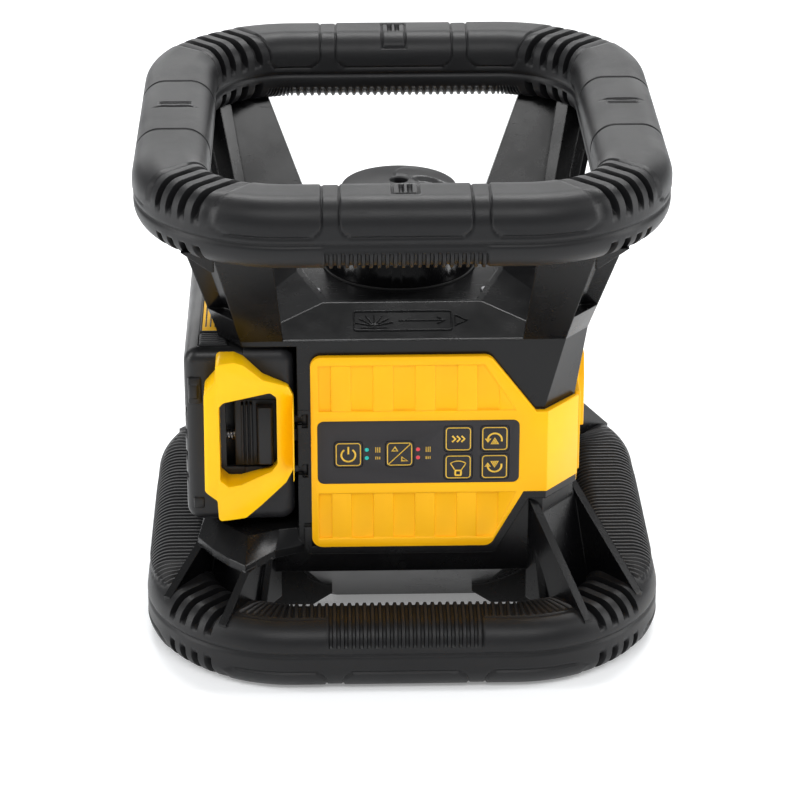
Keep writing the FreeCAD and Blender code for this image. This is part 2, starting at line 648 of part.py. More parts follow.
def belt_path(radius_gap):
    """Outline of the belt round both pulleys, grown by radius_gap."""
    big, small = ROTOR_HUB_R + radius_gap, MOTOR_PULLEY_R + radius_gap
    lean = math.asin((big - small) / BELT_CENTRES)
    points = []
    for centre_y, radius in ((0.0, big), (-BELT_CENTRES, small)):
        for side in (1, -1):
            points.append((side * radius * math.cos(lean), centre_y - radius * math.sin(lean)))
    quad = [points[0], points[1], points[3], points[2]]
    height = 2.4
    body = plan_prism(quad, PULLEY_LOW, PULLEY_LOW + height)
    return body.multiFuse([rod(big, height, (0, 0, PULLEY_LOW)),
                           rod(small, height, (0, -BELT_CENTRES, PULLEY_LOW))]).removeSplitter()


ROTOR_HUB_R = 16.0
PULLEY_LOW = PIVOT_Z + 29.5


def drive_belt():
    """Rubber belt round the two pulleys."""
    return belt_path(RUN + BELT).cut(belt_path(RUN))


def motor_pulley():
    """Pulley on the drive motor's shaft."""
    wheel = rod(MOTOR_PULLEY_R, 3.4, (0, -BELT_CENTRES, PULLEY_LOW - 0.5))
    return wheel.cut(rod(1.0 + RUN, 6, (0, -BELT_CENTRES, PULLEY_LOW - 2)))


# ---- spinning head ------------------------------------------------------------------------------
def rotor_hub():
    """Pulley and sleeve that turn on the bearings and carry the head."""
    sleeve = tube(ROTOR_HUB_R, 13.45, ROTOR_Z + 2.6 - PULLEY_LOW, (0, 0, PULLEY_LOW - 0.6))
    plate = tube(ROTOR_HUB_R, 6.0, 1.4, (0, 0, ROTOR_Z + 0.6))
    return sleeve.fuse(plate).removeSplitter()


def encoder_disc():
    """Slotted disc that reports the head's angle."""
    disc = tube(21, ROTOR_HUB_R, 0.8, (0, 0, PULLEY_LOW + 9.0))
    slots = []
    for step in range(24):
        slot = box(18.2, 20.2, -0.9, 0.9, PULLEY_LOW + 8, PULLEY_LOW + 11)
        slots.append(slot.rotate(Vec(0, 0, 0), Z_AXIS, step * 15.0))
    return disc.cut(slots)


def rotor_head():
    """Black head that holds the prism, open towards the beam."""
    drum = rod(ROTOR_R, 16, (0, 0, ROTOR_Z + 2.0))
    drum = rounded(drum, 1.5, lambda e: level(e, ROTOR_Z + 2.0))
    room = box(-8.5, 8.5, -8.5, 8.5, ROTOR_Z + 4.0, ROTOR_Z + 20)
    port = box(5, 30, -9, 9, ROTOR_Z + 4.5, ROTOR_Z + 16.5)
    return drum.cut([room, port, rod(6.0, 8, (0, 0, ROTOR_Z))])


def rotor_cap():
    """Slightly domed cap with the plumb-beam hole and a scoop over the beam window."""
    radius = 150.0
    dome = Part.makeSphere(radius, Vec(0, 0, ROTOR_TOP - radius)).common(rod(CAP_R, 12, (0, 0, ROTOR_Z + 18)))
    cap = dome.common(rod(CAP_R, 5.2, (0, 0, ROTOR_Z + 18)))
    scoop = Part.makeSphere(26, Vec(21, -8, ROTOR_TOP + 23.2))
    return cap.cut([rod(4.0, 20, (0, 0, ROTOR_Z + 10)), scoop])


def prism():
    """Five-sided glass prism that turns the beam through a right angle."""
    size = 11.0
    low, high = ROTOR_Z + 4.3, ROTOR_Z + 4.3 + size
    outline = [(-5.5, low), (5.5, low), (5.5, high), (0.9, high + 1.6), (-7.1, low + 4.6)]
    return front_prism(outline, -size / 2, size / 2)


def beam_window():
    """Curved clear window in the head's beam port."""
    pane = tube(ROTOR_R - 0.2, ROTOR_R - 1.8, 11.8, (0, 0, ROTOR_Z + 4.6))
    return pane.common(box(5, 30, -8.9, 8.9, ROTOR_Z, ROTOR_Z + 30))


# ---- battery pack -------------------------------------------------------------------------------
def pack_body(shrink, radius):
    """The pack's rounded block, pulled in by shrink."""
    x0, y0, z0 = (v + shrink for v in PACK_LOW)
    x1, y1, z1 = (v - shrink for v in PACK_HIGH)
    block = rounded(box(x0, x1, y0, y1, z0, z1), radius, lambda e: along(e, Y_AXIS))
    return rounded(block, radius * 0.8, lambda e: abs(e.BoundBox.YMax - y0) < 1e-4)


def pack_rails(grow, y0, y1):
    """Two T-shaped rails along Y on the pack's inner face, grown for their channels."""
    rails = []
    for z in (87.5, 112.5):
        rails.append(box(PACK_HIGH[0] - 0.5, RAIL_X[1] + grow, y0, y1, z - 1.6 - grow, z + 1.6 + grow))
        rails.append(box(RAIL_X[0] - grow, RAIL_X[1] + grow, y0, y1, z - 3.0 - grow, z + 3.0 + grow))
    return rails


def terminal_heights():
    """Heights of the four battery contacts."""
    return (95.5, 99.5, 103.5, 107.5)


def pack_shell():
    """The pack's hollow case before it is parted in two."""
    case = pack_body(0, 7.0).cut(pack_body(PACK_WALL, 4.4))
    slots = [box(-60, -40, 1.0, 40, z - 0.9, z + 0.9) for z in terminal_heights()]
    latch_hole = box(-80.4, -57.1, PACK_LOW[1] - 1, PACK_LOW[1] + PACK_WALL + 1, 90.1, 123.9)
    gauge_hole = box(-92.4, -78.6, -74.4, -61.6, PACK_HIGH[2] - PACK_WALL - 1, PACK_HIGH[2] + 1)
    pocket = box(PACK_LOW[0] + 1, PACK_HIGH[0] - 1, PACK_LOW[1] + 8.8, PACK_LOW[1] + 10.0, 84, 130)
    return case.cut(slots + [latch_hole, gauge_hole, latch_slot()]).fuse(pocket)


def pack_outer_shell():
    """Outer half of the pack's case, with grip grooves up its front corner."""
    half = pack_shell().common(box(PACK_LOW[0] - 1, PACK_SPLIT_X, -200, 200, 0, 200))
    grooves = [box(-100, -97.4, -77.5, -71.5, z - 2.2, z + 2.2) for z in (84.0, 95.0, 106.0, 117.0)]
    stop = box(-87.5, -85.0, PACK_LOW[1] + 2.0, PACK_LOW[1] + 8.5, 99.5, 109.0)
    return half.fuse(stop).cut(grooves)


def pack_inner_shell():
    """Inner half of the pack's case, with the rails."""
    half = pack_shell().common(box(PACK_SPLIT_X, PACK_HIGH[0] + 1, -200, 200, 0, 200))
    return fuse([half] + pack_rails(0, PACK_LOW[1] + 3, PACK_HIGH[1] - 1))


def cell_bores(grow):
    """Ten upright cylinders in two rows of five."""
    return [rod(CELL_R + grow, CELL_LENGTH, (x, -51.0 + 18.5 * column, 72.5))
            for column in range(5) for x in (-86.6, -67.4)]


def battery_cells():
    """The pack's ten cylindrical cells."""
    return Part.makeCompound(cell_bores(0))


def cell_holder():
    """Two plastic trays that hold the cells by their ends."""
    trays = [box(-94.8, -57.6, -61.5, 32.0, z, z + 8.0) for z in (66.0, 132.5)]
    return Part.makeCompound([tray.cut(cell_bores(0.05)) for tray in trays])


def pack_board():
    """The pack's circuit board, behind the contact slots."""
    return box(-56.8, -55.2, -40, 0.5, 72, 130)


def end_frame_outline():
    """Outline of the yellow end frame in (X, Z)."""
    return [(-84, 70), (-72, 69.5), (-65, 74.5), (-53.5, 84), (-49.6, 91), (-49.6, 126), (-52, 131.5),
            (-63.5, 136.8), (-72, 145.5), (-76, 147.5), (-84, 147.5), (-84.5, 139), (-89.5, 133), (-90, 86),
            (-84.5, 80.5)]


def end_frame_window():
    """Finger opening through the end frame in (X, Z)."""
    return [(-83, 90), (-79.5, 86.5), (-74, 86.5), (-60, 90.6), (-57.3, 94), (-57.3, 127), (-60, 129.8),
            (-81, 128.5), (-83, 126.5)]


def pack_end_frame():
    """Yellow frame that guards the release latch; seen from above it leans back towards the housing."""
    front = PACK_LOW[1]
    block = front_prism(end_frame_outline(), front - GUARD_REACH, front)
    block = rounded(block, 2.2, lambda e: along(e, Y_AXIS))
    low_x, high_x = -88, -50
    slope = plan_prism([(-100, front - 30), (high_x, front - 30), (high_x, front - 3),
                        (low_x, front - GUARD_REACH), (-100, front - GUARD_REACH - 1)], 0, 200)
    window = front_prism(end_frame_window(), front - 30, front + 1)
    window = rounded(window, 2.0, lambda e: along(e, Y_AXIS))
    return block.cut([slope, window])


def latch_slot():
    """Space in the case for the release latch's arm and tooth."""
    return box(-80.0, -48.0, PACK_LOW[1] - 1, PACK_LOW[1] + 7.5, 99.0, 109.5)


def release_latch():
    """Ribbed finger latch; its tooth points at the dock."""
    front = PACK_LOW[1]
    plate = box(-76.5, -57.5, front + 0.6, front + 2.2, 90.5, 123.5)
    block = box(-66.5, -59.0, front - 5.0, front + 1.0, 93.5, 121.5)
    block = rounded(block, 1.8, lambda e: along(e, Z_AXIS) and e.BoundBox.YMax < front - 4)
    ridges = [box(x, x + 0.9, front - 3.0, front + 1.0, 92.5, 122.5) for x in (-73.4, -71.4, -69.4)]
    arm = box(-76.0, -57.5, front + 2.0, front + 6.4, 101.2, 107.2)
    tooth = box(-58.5, -46.4, front + 3.6, front + 6.4, 101.2, 107.2)
    return fuse([plate, block, arm, tooth] + ridges)


def latch_spring():
    """Coil spring behind the release latch, pressing it towards the dock."""
    helix = Part.makeHelix(1.4, 8.2, 2.0)
    section = Part.Wire(Part.Circle(Vec(2.0, 0, 0), Y_AXIS, 0.35).toShape())
    coil = Part.Wire(helix.Edges).makePipeShell([section], True, True)
    coil.rotate(Vec(0, 0, 0), Y_AXIS, 90)
    return coil.translate(Vec(-84.6, PACK_LOW[1] + 5.0, 104.2))


def pack_label():
    """Plain yellow label in a frame on top of the pack."""
    return box(-91, -80, -58, 20, PACK_HIGH[2], PACK_HIGH[2] + 0.5)


def gauge_button():
    """Ribbed button on top of the pack that lights its charge gauge."""
    base = box(-92, -79, -74, -62, PACK_HIGH[2] - 3.4, PACK_HIGH[2] + 0.4)
    ribs = [box(-91.2, -79.8, -73.2 + 2.3 * i, -72.0 + 2.3 * i, PACK_HIGH[2] + 0.4, PACK_HIGH[2] + 1.2)
            for i in range(5)]
    return fuse([base] + ribs)


# ---- dock and electronics -----------------------------------------------------------------------
def dock_envelope():
    """Opening in the bay wall that the dock fills."""
    return box(BAY_X - 0.1, BAY_X + WALL + 3, -FRONT + 2, BAY_BACK - 1, 83, 117.4)


def battery_dock():
    """Plate in the bay wall with channels for the pack's rails."""
    plate = box(BAY_X, BAY_X + 6, -FRONT + 2.05, BAY_BACK - 1.05, 83.05, 117.35)
    channels = pack_rails(0.35, -FRONT, PACK_HIGH[1] + 0.5)
    catch = box(BAY_X - 0.1, -45.9, PACK_LOW[1] + 3.2, PACK_LOW[1] + 6.8, 100.6, 107.8)
    return plate.cut(channels + [catch])


def dock_terminals():
    """Four contact blades that stand in the pack's slots."""
    blades = [box(-54.5, BAY_X, 4.0, 22.0, z - 0.4, z + 0.4) for z in terminal_heights()]
    return Part.makeCompound(blades)


def main_board():
    """Main circuit board against the right-hand wall, with its larger components."""
    board = box(70.5, 72.1, -48, 48, 46, 112)
    chips = [box(66.5, 70.5, -30, -12, 60, 78), box(67.5, 70.5, 4, 20, 62, 74), box(64.5, 70.5, 26, 36, 84, 100)]
    return fuse([board] + chips)


# ---- fasteners ----------------------------------------------------------------------------------
def ring_screw_places():
    """Plan positions of the screws that clamp a ring's two halves."""
    half_x, half_y = CAGE_WIDTH / 2 - RING_BAND / 2, CAGE_DEPTH / 2 - RING_BAND / 2
    return [(sx * x, sy * y) for sx in (-1, 1) for sy in (-1, 1) for x, y in ((35, half_y), (half_x, 35))]


def ring_screws(z0, heads_down):
    """Screws sunk in one face of a ring."""
    made = []
    for x, y in ring_screw_places():
        start = z0 + RING_WALL + 0.6 if heads_down else z0 + RING_DEPTH - RING_WALL - 0.6
        made.append(screw(1.5, 2.6, 2.8, (x, y, start), Vec(0, 0, -1 if heads_down else 1)))
    return made


def screw_wells(z0, heads_down):
    """Counterbored holes for the ring screws."""
    made = []
    for x, y in ring_screw_places():
        made.append(rod(1.55, RING_WALL + 4, (x, y, z0 - 2 if heads_down else z0 + RING_DEPTH - RING_WALL - 2)))
        made.append(rod(2.9, 4, (x, y, z0 - 2 if heads_down else z0 + RING_DEPTH - 2)))
    return made


def panel_screws():
    """Screws at the corners of the rear panel."""
    return [screw(1.4, 4.0, 2.6, (x, FRONT + PANEL - 4.0, z), Y_AXIS) for x in (-36, 34) for z in (56, 139)]


def panel_screw_holes():
    """Holes for the rear panel's screws."""
    return [rod(1.45, 12, (x, FRONT - 6, z), Y_AXIS) for x in (-36, 34) for z in (56, 139)]


# ---- assembly -----------------------------------------------------------------------------------
def assemble():
    """Every piece by name."""
    upper = upper_housing().cut(panel_screw_holes())
    lower = lower_housing().cut([keypad_window()] + panel_screw_holes())
    top_tread, top_cap = ring_halves(TOP_RING_Z, ribbed_below=True)
    base_tread, base_cap = ring_halves(0.0, ribbed_below=False)
    screws = ring_screws(TOP_RING_Z, True) + ring_screws(0.0, True) + panel_screws()
    pieces = {
        "lower_housing": lower,
        "upper_housing": upper,
        "top_ring_tread": top_tread.cut([upper]).cut(screw_wells(TOP_RING_Z, True)),
        "top_ring_cap": top_cap,
        "base_ring_tread": base_tread.cut([lower]),
        "base_ring_cap": base_cap.cut(screw_wells(0.0, True)),
        "head_collar": head_collar(),
        "collar_gasket": collar_gasket(),
        "front_panel": front_panel(),
        "side_panel": side_panel().cut([upper]),
        "rear_panel": rear_panel().cut(panel_screw_holes()),
        "keypad_overlay": keypad_overlay(),
        "keypad_board": keypad_board(),
        "status_leds": status_leds(),
        "tripod_bushing": tripod_bushing(),
        "rear_bushing": rear_bushing(),
        "gimbal_chassis": gimbal_chassis(),
        "level_motors": level_motors(),
        "gimbal_ring": gimbal_ring(),
        "outer_pins": outer_pins(),
        "inner_pins": inner_pins(),
        "laser_barrel": laser_barrel(),
        "laser_diode": laser_diode(),
        "collimator_lens": collimator_lens(),
        "level_sensor": level_sensor(),
        "rotor_bearings": rotor_bearings(),
        "drive_motor": drive_motor(),
        "drive_belt": drive_belt(),
        "motor_pulley": motor_pulley(),
        "rotor_hub": rotor_hub(),
        "encoder_disc": encoder_disc(),
        "rotor_head": rotor_head(),
        "rotor_cap": rotor_cap(),
        "pentaprism": prism(),
        "beam_window": beam_window(),
        "pack_outer_shell": pack_outer_shell(),
        "pack_inner_shell": pack_inner_shell(),
        "battery_cells": battery_cells(),
        "cell_holder": cell_holder(),
        "pack_board": pack_board(),
        "pack_end_frame": pack_end_frame(),
        "release_latch": release_latch(),
        "latch_spring": latch_spring(),
        "pack_label": pack_label(),
        "gauge_button": gauge_button(),
        "battery_dock": battery_dock(),
        "dock_terminals": dock_terminals(),
        "main_board": main_board(),
        "housing_screws": Part.makeCompound(screws),
    }
    for axis_name, point in LEVEL_AXES.items():
        pieces[f"{axis_name}_level_screw"] = leadscrew(point)
        pieces[f"{axis_name}_level_nut"] = nut(point)
    for name, centre in KEYS.items():
        pieces[name] = key(centre)
    return pieces


for name, shape in assemble().items():
    solids = shape.Solids
    result = solids[0] if len(solids) == 1 else Part.makeCompound(solids)
    if not result.isValid() or not solids:
        print("CHECK", name, "valid", result.isValid(), "solids", len(solids))
    result.exportStep(f"parts/{name}.step")
    print(name, len(solids), round(sum(s.Volume for s in solids) / 1000.0, 2), "cm3")
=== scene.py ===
"""Rotating laser level in its roll cage: the finished look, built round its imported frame."""

from __future__ import annotations

import json
import logging
import math
from dataclasses import dataclass, field
from enum import Enum
from functools import lru_cache
from typing import Sequence

import bmesh
import bpy
from mathutils import Matrix, Vector


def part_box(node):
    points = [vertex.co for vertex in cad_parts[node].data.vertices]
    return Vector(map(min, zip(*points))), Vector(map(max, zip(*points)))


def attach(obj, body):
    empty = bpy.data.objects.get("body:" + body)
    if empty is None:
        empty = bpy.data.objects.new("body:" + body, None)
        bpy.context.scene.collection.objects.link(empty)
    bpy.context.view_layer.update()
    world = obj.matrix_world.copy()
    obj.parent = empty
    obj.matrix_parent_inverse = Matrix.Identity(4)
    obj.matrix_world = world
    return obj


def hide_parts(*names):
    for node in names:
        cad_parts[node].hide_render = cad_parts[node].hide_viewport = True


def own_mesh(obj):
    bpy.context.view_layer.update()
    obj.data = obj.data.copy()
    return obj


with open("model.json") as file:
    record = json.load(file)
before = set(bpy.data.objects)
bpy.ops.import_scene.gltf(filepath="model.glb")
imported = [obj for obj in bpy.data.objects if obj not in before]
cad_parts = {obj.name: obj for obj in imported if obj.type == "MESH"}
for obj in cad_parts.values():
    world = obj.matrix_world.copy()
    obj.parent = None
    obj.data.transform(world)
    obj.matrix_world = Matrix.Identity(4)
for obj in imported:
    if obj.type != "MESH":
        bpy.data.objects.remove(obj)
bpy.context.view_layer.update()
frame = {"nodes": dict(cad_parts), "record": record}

LOG = logging.getLogger("laser_level")
MM = 0.001
FLAT_ENOUGH = math.radians(1.5)
MERGE_MM = 1e-4
Colour = tuple[float, float, float]
Point = tuple[float, float]


# ---- shared shader groups -------------------------------------------------------------------------
def new_group(name: str, inputs: dict[str, tuple[str, float | None]], outputs: dict[str, str]) -> tuple:
    """Starts a shader node group.

    Args:
        name: the group's name.
        inputs: socket names with their type and default value.
        outputs: socket names with their type.

    Returns:
        The node tree, its input node and its output node.
    """
    tree = bpy.data.node_groups.new(name, "ShaderNodeTree")
    for label, (kind, value) in inputs.items():
        socket = tree.interface.new_socket(label, in_out="INPUT", socket_type=kind)
        if value is not None:
            socket.default_value = value
    for label, kind in outputs.items():
        tree.interface.new_socket(label, in_out="OUTPUT", socket_type=kind)
    return tree, tree.nodes.new("NodeGroupInput"), tree.nodes.new("NodeGroupOutput")


def add_math(tree: bpy.types.NodeTree, operation: str, *values: object, clamp: bool = False) -> object:
    """Adds a math node.

    Args:
        tree: the tree it goes in.
        operation: the node's operation.
        values: sockets or plain numbers for its inputs.
        clamp: whether the result is held to 0..1.

    Returns:
        The node's output socket.
    """
    node = tree.nodes.new("ShaderNodeMath")
    node.operation = operation
    node.use_clamp = clamp
    for socket, value in zip(node.inputs, values):
        if isinstance(value, (int, float)):
            socket.default_value = value
        else:
            tree.links.new(value, socket)
    return node.outputs[0]


def add_noise(tree: bpy.types.NodeTree, place: object, scale: object, detail: float = 3.0,
              rough: float = 0.5) -> object:
    """Adds a noise texture read at a place and returns its value socket."""
    node = tree.nodes.new("ShaderNodeTexNoise")
    node.inputs["Detail"].default_value = detail
    node.inputs["Roughness"].default_value = rough
    tree.links.new(place, node.inputs["Vector"])
    if isinstance(scale, (int, float)):
        node.inputs["Scale"].default_value = scale
    else:
        tree.links.new(scale, node.inputs["Scale"])
    return node.outputs[0]


@lru_cache(maxsize=None)
def grain_group() -> bpy.types.NodeTree:
    """Moulded surface grain: a fine pebble height, and a slow tone that varies over the piece."""
    tree, inn, out = new_group(
        "moulded_grain",
        {
            "Place": ("NodeSocketVector", None),
            "Scale": ("NodeSocketFloat", 1500.0),
            "Pebble": ("NodeSocketFloat", 0.5),
        },
        {"Height": "NodeSocketFloat", "Tone": "NodeSocketFloat"},
    )
    fine = add_noise(tree, inn.outputs["Place"], inn.outputs["Scale"], 2.0)
    cells = tree.nodes.new("ShaderNodeTexVoronoi")
    tree.links.new(inn.outputs["Place"], cells.inputs["Vector"])
    tree.links.new(inn.outputs["Scale"], cells.inputs["Scale"])
    pebbled = add_math(tree, "MULTIPLY", cells.outputs["Distance"], inn.outputs["Pebble"])
    tree.links.new(add_math(tree, "ADD", fine, pebbled), out.inputs["Height"])
    slow = add_noise(tree, inn.outputs["Place"], 42.0, 4.0, 0.6)
    spread = add_math(tree, "MULTIPLY_ADD", slow, 2.2, -0.6, clamp=True)
    tree.links.new(spread, out.inputs["Tone"])
    return tree


@lru_cache(maxsize=None)
def handling_group() -> bpy.types.NodeTree:
    """Handling marks: smudges and short hairline scuffs as one mask."""
    tree, inn, out = new_group(
        "handling_marks",
        {"Place": ("NodeSocketVector", None)},
        {"Smudge": "NodeSocketFloat", "Scuff": "NodeSocketFloat"},
    )
    soft = add_noise(tree, inn.outputs["Place"], 26.0, 5.0, 0.62)
    tree.links.new(add_math(tree, "MULTIPLY_ADD", soft, 3.0, -1.25, clamp=True), out.inputs["Smudge"])
    turn = tree.nodes.new("ShaderNodeMapping")
    turn.inputs["Rotation"].default_value = (0.4, 0.3, 0.9)
    turn.inputs["Scale"].default_value = (1.0, 14.0, 1.0)
    tree.links.new(inn.outputs["Place"], turn.inputs["Vector"])
    hair = add_noise(tree, turn.outputs["Vector"], 120.0, 2.0)
    lines = add_math(tree, "MULTIPLY_ADD", hair, 9.0, -6.1, clamp=True)
    tree.links.new(add_math(tree, "MULTIPLY", lines, soft), out.inputs["Scuff"])
    return tree


@lru_cache(maxsize=None)
def edge_group() -> bpy.types.NodeTree:
    """Rounded edges: a softened normal, and a mask that is bright where a sharp edge is polished by wear."""
    tree, inn, out = new_group(
        "rounded_edges",
        {"Place": ("NodeSocketVector", None), "Radius": ("NodeSocketFloat", 0.0006)},
        {"Wear": "NodeSocketFloat", "Normal": "NodeSocketVector"},
    )
    bevel = tree.nodes.new("ShaderNodeBevel")
    bevel.samples = 4
    tree.links.new(inn.outputs["Radius"], bevel.inputs["Radius"])
    flat = tree.nodes.new("ShaderNodeNewGeometry")
    dot = tree.nodes.new("ShaderNodeVectorMath")
    dot.operation = "DOT_PRODUCT"
    tree.links.new(bevel.outputs["Normal"], dot.inputs[0])
    tree.links.new(flat.outputs["Normal"], dot.inputs[1])
    bend = add_math(tree, "SUBTRACT", 1.0, dot.outputs["Value"])
    patch = add_noise(tree, inn.outputs["Place"], 160.0, 4.0, 0.6)
    patches = add_math(tree, "MULTIPLY_ADD", patch, 9.0, -2.2, clamp=True)
    broken = add_math(tree, "MULTIPLY", bend, patches)
    tree.links.new(add_math(tree, "MULTIPLY", broken, 4.0, clamp=True), out.inputs["Wear"])
    tree.links.new(bevel.outputs["Normal"], out.inputs["Normal"])
    return tree


@lru_cache(maxsize=None)
def dust_group() -> bpy.types.NodeTree:
    """A thin film of dust on faces that look up, thicker in patches."""
    tree, inn, out = new_group(
        "settled_dust",
        {"Place": ("NodeSocketVector", None)},
        {"Mask": "NodeSocketFloat"},
    )
    flat = tree.nodes.new("ShaderNodeNewGeometry")
    split = tree.nodes.new("ShaderNodeSeparateXYZ")
    tree.links.new(flat.outputs["Normal"], split.inputs[0])
    up = add_math(tree, "MULTIPLY_ADD", split.outputs["Z"], 1.6, -0.6, clamp=True)
    patch = add_noise(tree, inn.outputs["Place"], 75.0, 6.0, 0.65)
    patches = add_math(tree, "MULTIPLY_ADD", patch, 2.4, -0.8, clamp=True)
    tree.links.new(add_math(tree, "MULTIPLY", up, patches), out.inputs["Mask"])
    return tree


# ---- finishes ---------------------------------------------------------------------------------------
@dataclass(frozen=True)
class Finish:
    """A moulded, painted or machined surface.

    The numbers are linear colours, roughness from 0 to 1, grain features per metre and depths in metres.
    """

    name: str
    colour: Colour
    roughness: float
    slot: str
    deep: Colour | None = None
    grain: float = 1600.0
    pebble: float = 0.5
    relief: float = 0.00003
    smudge: float = 0.08
    worn: Colour | None = None
    wear: float = 0.25
    edge: float = 0.0005
    dust: float = 0.04
    metallic: float = 0.0
    coat: float = 0.0
    ior: float = 1.5

    def material(self) -> bpy.types.Material:
        """Returns the finish's material, built on first use."""
        made = bpy.data.materials.get(f"{self.name}_finish")
        return made if made else self.build()

    def start(self) -> tuple:
        """Makes the empty material and returns it with its tree, shader and coordinate socket."""
        material = bpy.data.materials.new(f"{self.name}_finish")
        material.use_nodes = True
        tree = material.node_tree
        tree.nodes.clear()
        shader = tree.nodes.new("ShaderNodeBsdfPrincipled")
        output = tree.nodes.new("ShaderNodeOutputMaterial")
        tree.links.new(shader.outputs[0], output.inputs["Surface"])
        shader.inputs["Metallic"].default_value = self.metallic
        shader.inputs["Coat Weight"].default_value = self.coat
        shader.inputs["Coat Roughness"].default_value = 0.12
        shader.inputs["IOR"].default_value = self.ior
        place = tree.nodes.new("ShaderNodeTexCoord").outputs["Object"]
        return material, tree, shader, place

    def place_group(self, tree: bpy.types.NodeTree, made: bpy.types.NodeTree, place: object,
                    **values: float) -> object:
        """Adds one of the shared groups with this finish's own values and returns its node."""
        node = tree.nodes.new("ShaderNodeGroup")
        node.node_tree = made
        tree.links.new(place, node.inputs["Place"])
        for label, value in values.items():
            node.inputs[label].default_value = value
        return node

    def mix(self, tree: bpy.types.NodeTree, factor: object, first: object, second: object) -> object:
        """Mixes two colours, each a socket or a plain colour, and returns the result's socket."""
        node = tree.nodes.new("ShaderNodeMix")
        node.data_type = "RGBA"
        tree.links.new(factor, node.inputs[0])
        for socket, value in ((node.inputs[6], first), (node.inputs[7], second)):
            if isinstance(value, tuple):
                socket.default_value = (*value, 1.0)
            else:
                tree.links.new(value, socket)
        return node.outputs[2]

    def base(self, tree: bpy.types.NodeTree, place: object, tone: object) -> object:
        """Returns the colour before wear and dust: here two close tones of one colour."""
        deep = self.deep or tuple(c * 0.86 for c in self.colour)
        return self.mix(tree, tone, deep, self.colour)

    def build(self) -> bpy.types.Material:
        """Wires grain, handling marks, edge wear and dust into one shader."""
        material, tree, shader, place = self.start()
        grain = self.place_group(tree, grain_group(), place, Scale=self.grain, Pebble=self.pebble)
        marks = self.place_group(tree, handling_group(), place)
        edges = self.place_group(tree, edge_group(), place, Radius=self.edge)
        dust = self.place_group(tree, dust_group(), place)
        colour = self.base(tree, place, grain.outputs["Tone"])
        worn = self.worn or tuple(min(1.0, c * 1.5 + 0.012) for c in self.colour)
        colour = self.mix(tree, add_math(tree, "MULTIPLY", edges.outputs["Wear"], self.wear), colour, worn)
        film = add_math(tree, "MULTIPLY", dust.outputs["Mask"], self.dust)
        colour = self.mix(tree, film, colour, (0.30, 0.29, 0.27))
        tree.links.new(colour, shader.inputs["Base Color"])
        rough = add_math(tree, "MULTIPLY_ADD", marks.outputs["Smudge"], self.smudge, self.roughness)
        rough = add_math(tree, "MULTIPLY_ADD", marks.outputs["Scuff"], 0.18, rough)
        rough = add_math(tree, "MULTIPLY_ADD", edges.outputs["Wear"], -0.08, rough, clamp=True)
        tree.links.new(rough, shader.inputs["Roughness"])
        bump = tree.nodes.new("ShaderNodeBump")
        bump.inputs["Distance"].default_value = self.relief
        tree.links.new(grain.outputs["Height"], bump.inputs["Height"])
        tree.links.new(edges.outputs["Normal"], bump.inputs["Normal"])
        tree.links.new(bump.outputs["Normal"], shader.inputs["Normal"])
        return material


@dataclass(frozen=True)
class TwoToneFinish(Finish):
    """A finish whose colour changes across a plane, as on lamps in two columns or a banded cell wrap."""

    other: Colour = (1.0, 0.0, 0.0)
    axis: str = "X"
    split: float = 0.0
    glow: float = 0.0

    def base(self, tree: bpy.types.NodeTree, place: object, tone: object) -> object:
        """Returns the first colour below the plane and the other one beyond it."""
        parts = tree.nodes.new("ShaderNodeSeparateXYZ")
        tree.links.new(place, parts.inputs[0])
        side = add_math(tree, "GREATER_THAN", parts.outputs[self.axis], self.split)
        plain = self.mix(tree, side, self.colour, self.other)
        dark = self.mix(tree, side, tuple(c * 0.7 for c in self.colour), tuple(c * 0.7 for c in self.other))
        return self.mix(tree, tone, dark, plain)

    def build(self) -> bpy.types.Material:
        """Adds the lamps' own light to the plain surface."""
        material = super().build()
        if self.glow:
            tree = material.node_tree
            shader = next(n for n in tree.nodes if n.type == "BSDF_PRINCIPLED")
            tree.links.new(shader.inputs["Base Color"].links[0].from_socket, shader.inputs["Emission Color"])
            shader.inputs["Emission Strength"].default_value = self.glow
        return material


@dataclass(frozen=True)
class BrushedFinish(Finish):
    """Turned or brushed metal with fine lines along one axis."""

    stretch: tuple[float, float, float] = (1.0, 1.0, 30.0)

    def base(self, tree: bpy.types.NodeTree, place: object, tone: object) -> object:
        """Returns the metal's colour crossed by its tool lines."""
        turn = tree.nodes.new("ShaderNodeMapping")
        turn.inputs["Scale"].default_value = self.stretch
        tree.links.new(place, turn.inputs["Vector"])
        lines = add_noise(tree, turn.outputs["Vector"], 90.0, 3.0)
        plain = self.mix(tree, tone, tuple(c * 0.9 for c in self.colour), self.colour)
        return self.mix(tree, lines, tuple(c * 0.72 for c in self.colour), plain)


@dataclass(frozen=True)
class BoardFinish(Finish):
    """A circuit board's solder mask over copper tracks."""

    track: Colour = (0.02, 0.10, 0.045)

    def base(self, tree: bpy.types.NodeTree, place: object, tone: object) -> object:
        """Returns the mask colour with lighter tracks under it."""
        brick = tree.nodes.new("ShaderNodeTexBrick")
        brick.inputs["Scale"].default_value = 260.0
        brick.inputs["Mortar Size"].default_value = 0.12
        turn = tree.nodes.new("ShaderNodeMapping")
        turn.inputs["Rotation"].default_value = (1.2, 0.6, 0.8)
        tree.links.new(place, turn.inputs["Vector"])
        tree.links.new(turn.outputs["Vector"], brick.inputs["Vector"])
        return self.mix(tree, brick.outputs["Fac"], self.colour, self.track)


